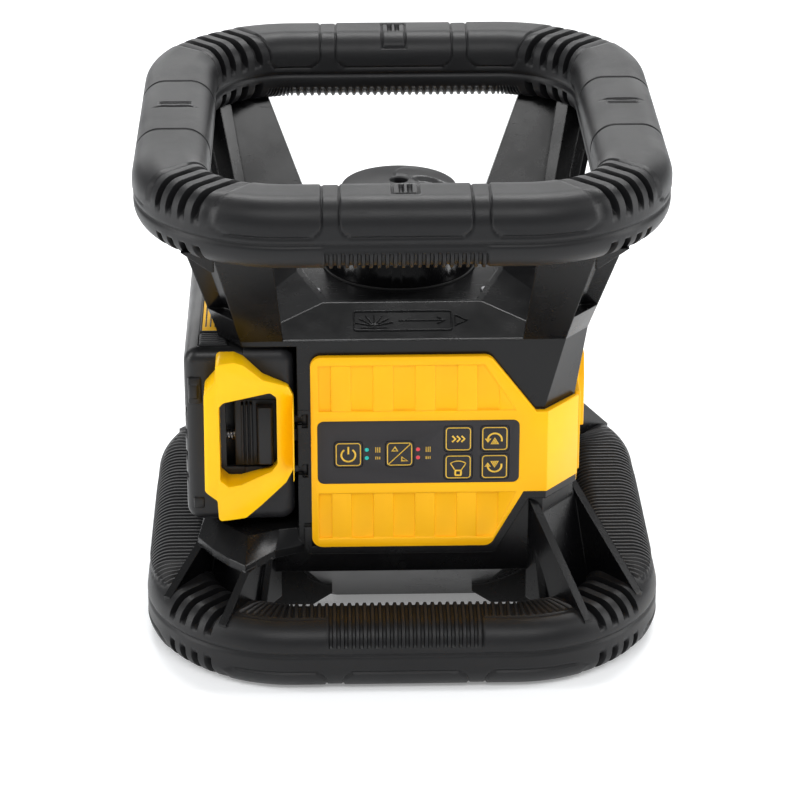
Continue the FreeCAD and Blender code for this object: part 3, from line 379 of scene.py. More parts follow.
@dataclass(frozen=True)
class GlassFinish(Finish):
    """Coated optical glass."""

    def build(self) -> bpy.types.Material:
        """Wires clear glass with a faint coating tint and fingerprints in its gloss."""
        material, tree, shader, place = self.start()
        grain = self.place_group(tree, grain_group(), place, Scale=self.grain, Pebble=self.pebble)
        marks = self.place_group(tree, handling_group(), place)
        tree.links.new(self.base(tree, place, grain.outputs["Tone"]), shader.inputs["Base Color"])
        rough = add_math(tree, "MULTIPLY_ADD", marks.outputs["Smudge"], self.smudge, self.roughness)
        tree.links.new(rough, shader.inputs["Roughness"])
        shader.inputs["Transmission Weight"].default_value = 1.0
        return material


class Surface(Enum):
    """Every finish on the instrument."""

    HOUSING = Finish("housing_black", (0.0032, 0.0032, 0.0036), 0.22, "housing_black", grain=900,
                     relief=0.000012, smudge=0.12, wear=0.06, edge=0.0008, dust=0.01, ior=1.34)
    RUBBER = Finish("ring_rubber", (0.0085, 0.0085, 0.0093), 0.40, "ring_rubber", grain=2100, pebble=1.0,
                    relief=0.000035, smudge=0.10, wear=0.12, edge=0.0004, dust=0.02, ior=1.34)
    SEAL = Finish("seal_rubber", (0.01, 0.01, 0.01), 0.6, "seal_rubber", grain=1800, pebble=0.9)
    PANEL = Finish("panel_yellow", (1.0, 0.50, 0.0), 0.38, "panel_yellow", deep=(0.97, 0.47, 0.0),
                   grain=1500, relief=0.00002, worn=(1.0, 0.60, 0.06), edge=0.0007, dust=0.01, ior=1.33)
    GUARD = Finish("guard_yellow", (1.0, 0.58, 0.0), 0.32, "guard_yellow", deep=(0.98, 0.53, 0.0),
                   grain=1300, relief=0.00002, worn=(1.0, 0.66, 0.08), edge=0.0007, dust=0.01, ior=1.36)
    LABEL = Finish("label_yellow", (0.93, 0.50, 0.005), 0.45, "label_yellow", grain=2400, relief=0.00001,
                   dust=0.05)
    FILM = Finish("keypad_film", (0.026, 0.024, 0.026), 0.46, "keypad_film", grain=2600, relief=0.00001,
                  wear=0.1, edge=0.0003, dust=0.01, ior=1.36)
    INK = Finish("amber_ink", (1.0, 0.62, 0.06), 0.5, "keypad_film", grain=2600, relief=0.000005,
                 wear=0.0, dust=0.0)
    LAMP = TwoToneFinish("led_lens", (0.0, 0.42, 0.36), 0.25, "led_lens", other=(0.75, 0.03, 0.05),
                         split=-0.003, glow=0.35, dust=0.0)
    BOARD = BoardFinish("circuit_board", (0.006, 0.055, 0.022), 0.42, "circuit_board")
    ALUMINIUM = BrushedFinish("bare_aluminium", (0.78, 0.78, 0.80), 0.30, "bare_aluminium", metallic=1.0,
                              wear=0.0)
    ANODISED = BrushedFinish("black_aluminium", (0.035, 0.035, 0.038), 0.36, "black_aluminium",
                             metallic=0.8, wear=0.5, worn=(0.55, 0.55, 0.56))
    STEEL = BrushedFinish("steel", (0.56, 0.56, 0.58), 0.28, "steel", metallic=1.0, wear=0.0,
                          stretch=(30.0, 30.0, 1.0))
    DOCK = Finish("dock_plastic", (0.02, 0.02, 0.021), 0.45, "dock_plastic", grain=1200, relief=0.00003)
    BRASS = BrushedFinish("contact_brass", (0.80, 0.56, 0.24), 0.26, "contact_brass", metallic=1.0,
                          wear=0.0)
    GLASS = GlassFinish("optic_glass", (0.90, 0.97, 0.94), 0.02, "optic_glass", smudge=0.06, ior=1.52)
    HEAD = Finish("head_black", (0.011, 0.011, 0.012), 0.40, "head_black", grain=1500, relief=0.000025,
                  wear=0.2)
    PACK = Finish("pack_black", (0.0065, 0.0065, 0.0072), 0.34, "pack_black", grain=1500,
                  relief=0.00003, wear=0.10, edge=0.0008, dust=0.02, ior=1.38)
    PACK_GREY = Finish("pack_grey", (0.012, 0.012, 0.0135), 0.42, "pack_grey", grain=1500,
                       relief=0.00003, wear=0.15, dust=0.02, ior=1.38)
    CELL = TwoToneFinish("cell_can", (0.02, 0.05, 0.03), 0.35, "cell_can", other=(0.30, 0.31, 0.31),
                         axis="Z", split=0.134)

    @property
    def finish(self) -> Finish:
        """The finish itself."""
        return self.value


# ---- making pieces -----------------------------------------------------------------------------------
def place_piece(obj: bpy.types.Object, body: str, surface: Surface,
                stands_for: Sequence[str] = ()) -> bpy.types.Object:
    """Gives a finished piece its material and body.

    Args:
        obj: the piece, at the origin with its place in its mesh.
        body: the CAD body that it rides on.
        surface: its finish.
        stands_for: CAD nodes that it replaces.

    Returns:
        The piece.
    """
    obj.data.materials.clear()
    obj.data.materials.append(surface.finish.material())
    if stands_for:
        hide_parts(*stands_for)
    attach(obj, body)
    LOG.info("%s: %d faces on %s", obj.name, len(obj.data.polygons), body)
    return obj


def finish_mesh(bm: bmesh.types.BMesh, name: str, body: str, surface: Surface, stands_for: Sequence[str] = (),
                scale: float = MM, smooth: float = 32.0) -> bpy.types.Object:
    """Turns a bmesh into a piece.

    Args:
        bm: the mesh, freed here.
        name: the piece's name.
        body: the CAD body that it rides on.
        surface: its finish.
        stands_for: CAD nodes that it replaces.
        scale: what one unit of the mesh is, in metres.
        smooth: faces that meet at less than this angle, in degrees, are shaded as one.

    Returns:
        The new object.
    """
    if scale != 1.0:
        bmesh.ops.scale(bm, vec=(scale, scale, scale), verts=bm.verts)
    mesh = bpy.data.meshes.new(name)
    bm.to_mesh(mesh)
    bm.free()
    mesh.shade_smooth()
    mesh.set_sharp_from_angle(angle=math.radians(smooth))
    obj = bpy.data.objects.new(name, mesh)
    bpy.context.scene.collection.objects.link(obj)
    return place_piece(obj, body, surface, stands_for)


def body_of_node(node: str) -> str:
    """Returns the name of the body that a CAD node rides on."""
    bodies = frame["record"]["behaviour"]["bodies"]
    return next(body for body, nodes in bodies.items() if node in nodes)


def copy_of_node(node: str) -> bmesh.types.BMesh:
    """Returns a CAD node's mesh in metres, with its doubles merged."""
    bm = bmesh.new()
    bm.from_mesh(frame["nodes"][node].data)
    bmesh.ops.remove_doubles(bm, verts=bm.verts, dist=2e-6)
    return bm


@dataclass
class SoftenedNode:
    """A copy of a CAD node with its doubles merged and its sharp edges rounded.

    The radius is in millimetres. Edges that bend less than the angle, in degrees, stay as they are.
    """

    node: str
    surface: Surface
    radius: float = 0.5
    angle: float = 32.0
    segments: int = 2

    def build(self) -> bpy.types.Object:
        """Makes the rounded copy, which stands for the node."""
        bm = copy_of_node(self.node)
        bmesh.ops.dissolve_limit(bm, angle_limit=FLAT_ENOUGH, verts=bm.verts, edges=bm.edges)
        limit = math.radians(self.angle)
        sharp = [e for e in bm.edges if len(e.link_faces) == 2 and e.calc_face_angle(0.0) > limit]
        bmesh.ops.bevel(bm, geom=sharp, offset=self.radius * MM, offset_type="OFFSET", segments=self.segments,
                        profile=0.5, affect="EDGES", clamp_overlap=True, material=-1)
        body = body_of_node(self.node)
        return finish_mesh(bm, f"{self.node}_soft", body, self.surface, [self.node], scale=1.0)


def soften(*nodes: tuple[str, Surface, float]) -> None:
    """Rounds the edges of several nodes, each given with its finish and its radius in millimetres."""
    for node, surface, radius in nodes:
        SoftenedNode(node, surface, radius=radius).build()


def add_block(bm: bmesh.types.BMesh, low: Sequence[float], high: Sequence[float], round_mm: float = 0.0,
              turn: Matrix | None = None) -> list:
    """Adds a box between two corners, in millimetres, with rounded edges.

    Args:
        bm: the mesh it goes in.
        low: its lowest corner.
        high: its highest corner.
        round_mm: the rounding of its edges.
        turn: a transform for the finished box.

    Returns:
        The box's vertices.
    """
    size = Vector(high) - Vector(low)
    middle = (Vector(high) + Vector(low)) / 2
    placed = Matrix.Translation(middle) @ Matrix.Diagonal((*size, 1.0))
    verts = bmesh.ops.create_cube(bm, size=1.0, matrix=placed)["verts"]
    if round_mm:
        edges = list({e for v in verts for e in v.link_edges})
        made = bmesh.ops.bevel(bm, geom=edges, offset=round_mm, segments=2, profile=0.5, affect="EDGES",
                               material=-1)
        verts = made["verts"]
    if turn is not None:
        bmesh.ops.transform(bm, matrix=turn, verts=verts)
    return verts


def add_turned(bm: bmesh.types.BMesh, profile: Sequence[Point], steps: int = 48,
               at: Sequence[float] = (0, 0, 0)) -> list:
    """Spins a profile of (radius, height) points into a closed round shape.

    Args:
        bm: the mesh it goes in.
        profile: the points from the axis out and back to the axis, in millimetres.
        steps: steps round the axis.
        at: where its axis stands.

    Returns:
        The shape's vertices.
    """
    verts = [bm.verts.new((radius, 0.0, height)) for radius, height in profile]
    edges = [bm.edges.new(pair) for pair in zip(verts, verts[1:])]
    made = bmesh.ops.spin(bm, geom=verts + edges, cent=(0, 0, 0), axis=(0, 0, 1), angle=math.tau,
                          steps=steps, use_merge=True, use_duplicate=False)
    spun = set(verts) | {g for g in made["geom_last"] if isinstance(g, bmesh.types.BMVert)}
    stack = list(spun)
    while stack:
        for edge in stack.pop().link_edges:
            for vert in edge.verts:
                if vert not in spun:
                    spun.add(vert)
                    stack.append(vert)
    bmesh.ops.remove_doubles(bm, verts=list(spun), dist=MERGE_MM)
    alive = [v for v in spun if v.is_valid]
    faces = list({f for v in alive for f in v.link_faces})
    bmesh.ops.recalc_face_normals(bm, faces=faces)
    bmesh.ops.translate(bm, vec=Vector(at), verts=alive)
    return alive


def arc(centre: Point, radius: float, start: float, end: float, steps: int = 14) -> list[Point]:
    """Returns points on an arc between two angles in degrees."""
    angles = [math.radians(start + (end - start) * i / steps) for i in range(steps + 1)]
    return [(centre[0] + radius * math.cos(a), centre[1] + radius * math.sin(a)) for a in angles]


def round_rect(centre: Point, half: Point, radius: float) -> list[Point]:
    """Returns the points of a rounded rectangle, first point repeated at the end."""
    points: list[Point] = []
    for sx, sy, start in ((1, 1, 0), (-1, 1, 90), (-1, -1, 180), (1, -1, 270)):
        corner = (centre[0] + sx * (half[0] - radius), centre[1] + sy * (half[1] - radius))
        points += arc(corner, radius, start, start + 90, 5)
    return points + points[:1]


@dataclass
class Strokes:
    """Thin raised lines drawn on a flat face, swept along plain curves.

    The frame matrix takes the drawing's (x, y) millimetres onto the face, with z standing proud of it.
    """

    name: str
    body: str
    surface: Surface
    frame: Matrix
    width: float = 0.5
    rise: float = 0.25
    lines: list[list[Point]] = field(default_factory=list)

    def build(self) -> bpy.types.Object:
        """Sweeps every line, flattens the sweep and puts it on the face."""
        curve = bpy.data.curves.new(self.name, "CURVE")
        curve.dimensions = "3D"
        curve.bevel_depth = self.width / 2
        curve.bevel_resolution = 1
        curve.use_fill_caps = True
        for line in self.lines:
            closed = line[0] == line[-1]
            points = line[:-1] if closed else line
            spline = curve.splines.new("POLY")
            spline.points.add(len(points) - 1)
            for target, (x, y) in zip(spline.points, points):
                target.co = (x, y, 0.0, 1.0)
            spline.use_cyclic_u = closed
        holder = bpy.data.objects.new(self.name + "_curve", curve)
        bpy.context.scene.collection.objects.link(holder)
        bpy.context.view_layer.update()
        graph = bpy.context.evaluated_depsgraph_get()
        swept = bpy.data.meshes.new_from_object(holder.evaluated_get(graph))
        bpy.data.objects.remove(holder)
        bm = bmesh.new()
        bm.from_mesh(swept)
        bpy.data.meshes.remove(swept)
        squash = Matrix.Diagonal((1, 1, self.rise / (self.width / 2), 1))
        bmesh.ops.transform(bm, matrix=self.frame @ squash, verts=bm.verts)
        bmesh.ops.remove_doubles(bm, verts=bm.verts, dist=MERGE_MM)
        bmesh.ops.recalc_face_normals(bm, faces=bm.faces)
        return finish_mesh(bm, self.name, self.body, self.surface)


# ---- roll cage ---------------------------------------------------------------------------------------
class Half(Enum):
    """The two mouldings of a ring: the smooth cap and the ribbed tread."""

    CAP = "cap"
    TREAD = "tread"


OUTWARD = (Vector((0, -1, 0)), Vector((1, 0, 0)), Vector((0, 1, 0)), Vector((-1, 0, 0)))
GROOVES = (-1.5, -0.5, 0.5, 1.5)
GROOVE_SAMPLES = (-2.6, -2.1, -1.5, -0.8, 0.0, 0.8, 1.5, 2.1, 2.6)
PAD_EDGE_SAMPLES = (-5.0, -4.0, -3.0, -2.0, -1.2, -0.8, -0.4, 0.0, 0.4, 0.8, 1.2, 2.0, 3.0, 4.0, 5.0)
RIB_PROFILE = ((0.0, 0.0), (0.34, 0.0), (0.5, 1.0), (0.84, 1.0))


@dataclass(frozen=True)
class Station:
    """One cross-section of a ring.

    Members 0 to 3 are front, right, back and left. A turn of None is a straight run. Otherwise it is the
    distance from the corner's diagonal and the blend that place the section in the corner.
    """

    member: int
    along: float
    turn: Point | None = None
    groove: float = 0.0
    valley: float = 0.0


def ease(value: float, low: float, high: float) -> float:
    """Returns a smooth step from 0 at low to 1 at high; low may be the greater."""
    t = max(0.0, min(1.0, (value - low) / (high - low)))
    return t * t * (3 - 2 * t)


@dataclass
class RingHalf:
    """One moulding of a cage ring, a closed section swept round the ring with its grooves, ribs and pads.

    All sizes are in millimetres. The seam is at height seam, and up is 1 where this half is above it.
    """

    name: str
    half: Half
    seam: float
    up: int
    tall: float
    half_width: float = 120.0
    half_depth: float = 131.0
    band: float = 34.0
    corner: float = 70.0
    shoulder: float = 11.5
    groove_pitch: float = 7.8
    groove_depth: float = 3.8
    groove_floor: float = 1.3
    groove_edge: float = 2.2
    rib_pitch: float = 3.45
    rib_depth: float = 1.3
    skin: float = 0.35
    reach: float = 17.0
    seam_depth: float = 1.1
    pad_inset: float = 0.0
    rib_end: float = 8.5

    def middle(self, member: int) -> float:
        """Distance from the ring's centre to a member's centre line."""
        return (self.half_depth if member % 2 == 0 else self.half_width) - self.band / 2

    def run(self, member: int) -> float:
        """Half the straight length of a member."""
        return (self.half_width if member % 2 == 0 else self.half_depth) - self.corner

    def section(self) -> list[tuple[float, float, float, float, float]]:
        """The half section from the outer seam over to the inner seam.

        Returns:
            Radial offset, height, both parts of the normal, and the distance from the outer seam.
        """
        wall, radius, half = self.tall - self.shoulder, self.shoulder, self.band / 2
        bend = radius * math.pi / 2
        rows: list[tuple[float, float, float, float, float]] = []

        def side(at: float, sign: int) -> tuple[float, float, float, float]:
            """Point on the outer or inner flank at a distance from its seam."""
            if at <= wall:
                return sign * half, at, sign, 0.0
            angle = (at - wall) / radius
            return (sign * (half - radius + radius * math.cos(angle)), wall + radius * math.sin(angle),
                    sign * math.cos(angle), math.sin(angle))

        lip = [0.0, 0.45, 0.9, 1.6]
        flank = lip + [lip[-1] + i for i in range(1, int(wall + bend - 2.2) + 1)] + [wall + bend]
        flat, total = 2 * (half - radius), self.length()
        for at in flank:
            rows.append((*side(at, 1), at))
        for i in range(1, 11):
            across = flat * i / 11
            rows.append((half - radius - across, self.tall, 0.0, 1.0, wall + bend + across))
        for at in reversed(flank):
            rows.append((*side(at, -1), total - at))
        return rows

    def length(self) -> float:
        """Length of the half section."""
        return 2 * (self.tall - self.shoulder) + self.shoulder * math.pi + self.band - 2 * self.shoulder

    def straight_stations(self, member: int) -> list[Station]:
        """Sections along a straight run: fine at a cap's pad ends and badge, and at every rib of a tread."""
        half = self.run(member)
        if self.half is Half.TREAD:
            count = round(2 * half / self.rib_pitch)
            pitch = 2 * half / count
            return [
                Station(member, -half + pitch * (i + share), valley=valley)
                for i in range(count)
                for share, valley in RIB_PROFILE
            ]
        marks = {round(-half + 2 * half * i / 56, 2) for i in range(57)}
        for start, end in self.pads(member):
            for edge in (start, end):
                marks |= {round(edge + d, 2) for d in PAD_EDGE_SAMPLES}
        marks |= {round(-9.0 + 0.5 * i, 2) for i in range(37)}
        ordered: list[float] = []
        for mark in sorted(m for m in marks if -half <= m < half):
            if not ordered or mark - ordered[-1] > 0.28:
                ordered.append(mark)
        return [Station(member, mark) for mark in ordered]

    def corner_stations(self, member: int) -> list[Station]:
        """Sections round the corner after a member, at set distances from its diagonal at the grooves."""
        ribbed = self.half is Half.TREAD
        blends = 32 if ribbed else 18
        start_run, end_run = self.run(member), self.run(member + 1)
        radius = self.corner - self.band / 2
        after = (member + 1) % 4
        turned = math.radians(45) - math.asin(self.reach / radius)
        stations: list[Station] = []
        for i in range(blends):
            share = i / blends
            valley = 1.0 if ribbed and i % 4 in (2, 3) else 0.0
            along = start_run + radius * turned * share
            stations.append(Station(member, along, (-self.reach, share), valley=valley))
        steps = {-self.reach, self.reach}
        for k in GROOVES:
            steps |= {round(k * self.groove_pitch + d, 3) for d in GROOVE_SAMPLES}
        for t in sorted(steps):
            nearest = min(abs(t - k * self.groove_pitch) for k in GROOVES)
            swept = radius * (math.radians(45) + math.asin(t / radius))
            along = start_run + swept if t < 0 else -(end_run + radius * math.radians(90) - swept)
            groove = 1.0 - ease(nearest, self.groove_floor, self.groove_edge)
            stations.append(Station(member if t < 0 else after, along, (t, 1.0), groove=groove))
        for i in range(1, blends):
            share = 1.0 - i / blends
            valley = 1.0 if ribbed and i % 4 in (2, 3) else 0.0
            along = -(end_run + radius * turned * share)
            stations.append(Station(after, along, (self.reach, share), valley=valley))
        return stations

    def pads(self, member: int) -> list[Point]:
        """Ends of the raised pads on a cap's member."""
        if member % 2 == 0:
            return [(-73.0, -36.0), (-28.5, 28.5), (36.0, 73.0)]
        return [(-84.0, -33.6), (-32.6, 33.6), (34.6, 84.0)]

    def cap_relief(self, station: Station, at: float) -> float:
        """Height of a cap's surface above its plain section: pads, their outlines and the badge recesses."""
        total = self.length()
        low, high, bend = self.pad_inset, total - self.pad_inset, 6.0
        height = -self.skin
        for start, end in self.pads(station.member):
            dx = abs(station.along - (start + end) / 2) - (end - start) / 2 + bend
            dy = abs(at - (low + high) / 2) - (high - low) / 2 + bend
            away = math.hypot(max(dx, 0.0), max(dy, 0.0)) + min(max(dx, dy), 0.0) - bend
            if away < 1.2:
                height = max(height, -self.skin * ease(away, -0.9, -0.3))
                height -= 0.55 * (1.0 - ease(abs(away), 0.15, 0.65))
        return height - self.badge(station, at)

    def badge(self, station: Station, at: float) -> float:
        """Depth of the mark in the middle of a member: two slots in a plate, or a lens with two slots."""
        total = self.length()
        if station.turn or abs(station.along) > 9:
            return 0.0
        if station.member % 2 == 0:
            top = total / 2 - 5.5
            inside = max(abs(station.along) - 5.6, top + 1.2 - at, at - total + 14.0)
            plate = 0.9 * (1.0 - ease(abs(inside), 0.25, 0.75))
            slot = max(abs(abs(station.along) - 1.9) - 0.75, top + 2.6 - at, at - top - 11.5)
            return plate + 1.5 * (1.0 - ease(slot, -0.1, 0.5))
        offset = at - total / 2
        lens = math.hypot(offset / 10.5, (station.along - 2.6) / 1.7) - 1.0
        slot = max(abs(abs(station.along + 2.2) - 1.0) - 0.4, abs(offset) - 6.8)
        return 1.3 * (1.0 - ease(lens, -0.35, 0.05)) + 0.9 * (1.0 - ease(slot, -0.1, 0.4))

    def rib_start(self, station: Station) -> float:
        """Where the ribs of a tread begin, from the outer seam, or past the section where there are none."""
        total, across = self.length(), abs(station.along)
        flat = self.tall - self.shoulder + self.shoulder * math.pi / 2
        if station.member % 2 == 0:
            if across < 35.5:
                return 3.4
            return flat + 0.6 if across < 76.0 else total
        return 3.4 + max(0.0, across - 36.0) * 0.28 if across < 78.0 else total

    def tread_relief(self, station: Station, at: float) -> float:
        """Height of a tread's surface above its plain section: the cross ribs and their bounding line."""
        total, start = self.length(), self.rib_start(station)
        end = total - self.rib_end
        inside = ease(at, start, start + 1.6) * (1.0 - ease(at, end, end + 1.8))
        line = 0.5 * (1.0 - ease(abs(at - start + 1.3), 0.3, 0.8)) if start < total - 4 else 0.0
        return -self.skin * (1.0 - inside) - station.valley * self.rib_depth * inside - line

    def groove_relief(self, station: Station, at: float) -> float:
        """Depth of the corner grooves, which run out in a point above the outer seam."""
        total = self.length()
        outer, inner = (5.0, total - 4.5) if self.half is Half.CAP else (4.0, total - 2.5)
        rise = 6.0 if self.half is Half.CAP else 4.5
        share = min(ease(at, outer, outer + rise), ease(at, inner, inner - 4.0))
        width = 0.45 + 0.55 * share
        return self.groove_depth * share * ease(station.groove, 1.0 - width, 1.0)

    def place(self, station: Station, offset: float, height: float) -> Vector:
        """Puts a point of a section, given by its radial offset and height, into the ring."""
        member = station.member
        if station.turn and station.turn[0] > 0:
            member = (member - 1) % 4
        outward = OUTWARD[member]
        onward = Vector((-outward.y, outward.x, 0))
        level = Vector((0, 0, self.seam + self.up * height))
        if station.turn is None:
            return outward * (self.middle(member) + offset) + onward * station.along + level
        centre_out = self.middle(member) - (self.corner - self.band / 2)
        centre_on = self.run(member)
        radius = self.corner - self.band / 2 + offset
        t, share = station.turn
        angle = math.radians(45) + math.asin(max(-1.0, min(1.0, t / radius)))
        rest = 0.0 if t < 0 else math.radians(90)
        angle = rest + (angle - rest) * share
        direction = outward * math.cos(angle) + onward * math.sin(angle)
        return outward * centre_out + onward * centre_on + direction * radius + level

    def build(self) -> bpy.types.Object:
        """Wraps a grid round the ring, closes it along the seam and presses the relief into it."""
        stations: list[Station] = []
        for member in range(4):
            stations += self.straight_stations(member) + self.corner_stations(member)
        rows = self.section()
        columns = len(stations)
        bm = bmesh.new()
        bmesh.ops.create_grid(bm, x_segments=columns, y_segments=len(rows), size=1.0)
        xs = sorted({round(v.co.x, 6) for v in bm.verts})
        ys = sorted({round(v.co.y, 6) for v in bm.verts})
        relief = self.cap_relief if self.half is Half.CAP else self.tread_relief
        column = {x: i for i, x in enumerate(xs)}
        row = {y: j for j, y in enumerate(ys)}
        for vert in bm.verts:
            station = stations[column[round(vert.co.x, 6)] % columns]
            offset, height, out, rise, at = rows[row[round(vert.co.y, 6)] % len(rows)]
            deep = relief(station, at)
            fade = ease(at, 0.3, 1.5) * ease(self.length() - at, 0.3, 1.5)
            lift = deep * fade - self.seam_depth * (1.0 - fade)
            if station.groove:
                lift -= self.groove_relief(station, at)
            height = height + rise * lift
            vert.co = self.place(station, offset + out * lift, max(0.0, height))
        bmesh.ops.remove_doubles(bm, verts=bm.verts, dist=MERGE_MM)
        bmesh.ops.recalc_face_normals(bm, faces=bm.faces)
        return finish_mesh(bm, f"{self.name}_skin", "housing", Surface.RUBBER, [self.name], smooth=40.0)


@dataclass
class RollCage:
    """The two rubber rings that take a fall, each of a cap and a tread."""

    top_inset: float = 3.6
    base_inset: float = 8.5

    def build(self) -> None:
        """Builds the four mouldings from their nodes' own heights."""
        for ring, up in (("top_ring", 1), ("base_ring", -1)):
            cap_low, cap_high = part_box(f"{ring}_cap")
            tread_low, tread_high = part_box(f"{ring}_tread")
            cap_tall = (cap_high.z - cap_low.z) / MM
            tread_tall = (tread_high.z - tread_low.z) / MM
            seam = (tread_high.z if up == 1 else tread_low.z) / MM
            inset = self.top_inset if up == 1 else self.base_inset
            RingHalf(f"{ring}_cap", Half.CAP, seam, up, cap_tall, pad_inset=inset).build()
            RingHalf(f"{ring}_tread", Half.TREAD, seam, -up, tread_tall).build()


# ---- keypad ------------------------------------------------------------------------------------------
class Legend(Enum):
    """What a key's face shows."""

    POWER = "power"
    SLOPE = "slope"
    SPEED = "speed"
    SCAN = "scan"
    ROTATE_RIGHT = "rotate_right"
    ROTATE_LEFT = "rotate_left"


@dataclass
class KeyLegend:
    """The amber lines printed on one key, in millimetres from the key's centre."""

    legend: Legend
    half: float = 5.5
    line: float = 0.5
    bold_line: float = 0.9

    def strokes(self) -> tuple[list[list[Point]], list[list[Point]]]:
        """Returns the thin lines and the bold lines of the drawing."""
        thin = [round_rect((0, 0), (self.half, self.half), 1.4)]
        bold: list[list[Point]] = []
        if self.legend is Legend.POWER:
            bold = [arc((0, -0.3), 3.2, 125, 415, 18), [(0, 0.2), (0, 3.9)]]
        elif self.legend is Legend.SLOPE:
            thin.append([(-4.8, -4.8), (4.8, 4.8)])
            bold = [[(-3.4, 1.6), (-0.9, 1.6), (-2.1, 3.6), (-3.4, 1.6)],
                    [(1.0, -3.4), (3.6, -3.4), (1.0, -1.4), (1.0, -3.4)]]
        elif self.legend is Legend.SPEED:
            bold = [[(x, -1.5), (x + 1.5, 0), (x, 1.5)] for x in (-2.8, -0.7, 1.4)]
        elif self.legend is Legend.SCAN:
            thin += [arc((0, -2.6), 5.6, 50, 130, 10), [(-3.4, 1.6), (-1.2, -2.0)], [(3.4, 1.6), (1.2, -2.0)]]
            bold = [round_rect((0, -3.0), (1.3, 1.2), 0.4)]
        else:
            flip = 1 if self.legend is Legend.ROTATE_RIGHT else -1
            upright = [arc((0, -0.6), 3.2, -15, 190, 14),
                       [(-4.2, -0.2), (-3.1, -1.7), (-2.0, -0.2), (-4.2, -0.2)],
                       [(-1.6, -2.6), (1.6, -2.6), (0.0, 0.2), (-1.6, -2.6)],
                       [(-0.6, -2.0), (0.6, -2.0), (0.0, -0.9), (-0.6, -2.0)]]
            bold = [[(x, flip * y) for x, y in line] for line in upright]
        return thin, bold

    def build(self) -> None:
        """Softens the key and draws its legend on its face."""
        node = f"{self.legend.value}_button"
        SoftenedNode(node, Surface.FILM, radius=0.3).build()
        low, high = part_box(node)
        centre = Vector(((low.x + high.x) / 2, low.y, (low.z + high.z) / 2)) / MM
        face = Matrix.Translation(centre) @ Matrix.Rotation(math.radians(90), 4, "X")
        thin, bold = self.strokes()
        body = body_of_node(node)
        name = self.legend.value
        Strokes(f"{name}_frame", body, Surface.INK, face, self.line, 0.06, thin).build()
        Strokes(f"{name}_sign", body, Surface.INK, face, self.bold_line, 0.07, bold).build()


@dataclass
class Keypad:
    """The membrane with its six keys, and the marks beside its two columns of lamps."""

    marks: tuple[Point, ...] = ((-11.7, 99.3), (-11.7, 95.2), (11.2, 99.3), (11.2, 95.2))

    def build(self) -> None:
        """Builds the membrane, the keys and the lamp marks."""
        SoftenedNode("keypad_overlay", Surface.FILM, radius=0.2).build()
        for legend in Legend:
            KeyLegend(legend).build()
        low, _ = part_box("keypad_overlay")
        face = Matrix.Translation((0, low.y / MM, 0)) @ Matrix.Rotation(math.radians(90), 4, "X")
        lines = []
        for index, (x, z) in enumerate(self.marks):
            tall = 1.3 if index % 2 == 0 else 0.7
            lines += [[(x + d, z - tall), (x + d, z + tall)] for d in (-0.9, 0.0, 0.9)]
        Strokes("lamp_marks", "housing", Surface.INK, face, 0.4, 0.05, lines).build()


# ---- spinning head ---------------------------------------------------------------------------------
@dataclass
class HeadCap:
    """Domed cap of the spinning head, with a raised lobe round the plumb hole and a scoop beside it."""

    hole: float = 4.0
    sag: float = 2.4
    lobe: float = 0.9
    scoop: float = 2.2
    ribs: int = 60
    window_half_angle: float = 0.52

    def surface(self, x: float, y: float) -> float:
        """Height that the lobe adds and the scoop takes at a place on the dome."""
        angle = math.atan2(y, x)
        away = math.hypot(x, y)
        crease = math.radians(118) - away * 0.030
        swept = (angle - crease + math.pi) % math.tau - math.pi
        raised = self.lobe * ease(-swept, -0.04, 0.10) * ease(swept, -2.6, -1.4) * ease(away, 27.0, 12.0)
        across, along = (y + 1.0) + (x - 13.0) * 0.35, x - 14.5
        dip = self.scoop * (1.0 - ease(math.hypot(across / 4.6, along / 9.0), 0.55, 1.0))
        return raised - dip

    def build(self) -> None:
        """Turns the cap, then raises the lobe and presses the scoop."""
        low, high = (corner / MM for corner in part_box("rotor_cap"))
        rim = (high.x - low.x) / 2
        top = high.z - self.lobe
        brow = top - self.sag
        outline = [(self.hole, low.z + 1.5), (self.hole, top - 0.5), (self.hole + 0.5, top)]
        outline += [(r, top - self.sag * (r / rim) ** 2) for r in range(5, 26)]
        outline += [(rim - 1.0, brow), (rim - 0.3, brow - 0.5), (rim, brow - 1.2)]
        outline += [(rim, low.z + 0.4), (rim - 0.4, low.z)]
        outline += [(self.hole + 4, low.z), (self.hole + 4, low.z + 1.5), (self.hole, low.z + 1.5)]
        bm = bmesh.new()
        verts = add_turned(bm, outline, 120)
        for vert in verts:
            away = math.hypot(vert.co.x, vert.co.y)
            if vert.co.z > brow - 0.4 and 4.4 < away < rim - 0.8:
                fade = ease(away, 4.4, 6.0) * ease(away, rim - 0.9, rim - 3.0)
                vert.co.z += fade * self.surface(vert.co.x, vert.co.y)
        finish_mesh(bm, "rotor_cap_dome", "spinning_head", Surface.HEAD, ["rotor_cap"], smooth=28.0)
        self.knurl(low.z)

    def knurl(self, height: float) -> None:
        """Adds the fine grip ribs round the head under its cap, clear of the beam's window."""
        low, high = (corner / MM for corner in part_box("rotor_head"))
        radius = (high.x - low.x) / 2
        bm = bmesh.new()
        for step in range(self.ribs):
            angle = math.tau * step / self.ribs
            if abs((angle + math.pi) % math.tau - math.pi) < self.window_half_angle:
                continue
            turn = Matrix.Rotation(angle, 4, "Z")
            foot = (radius - 0.4, -0.45, height - 4.0)
            add_block(bm, foot, (radius + 0.5, 0.45, height - 0.4), 0.15, turn)
        finish_mesh(bm, "rotor_grip_ribs", "spinning_head", Surface.HEAD)


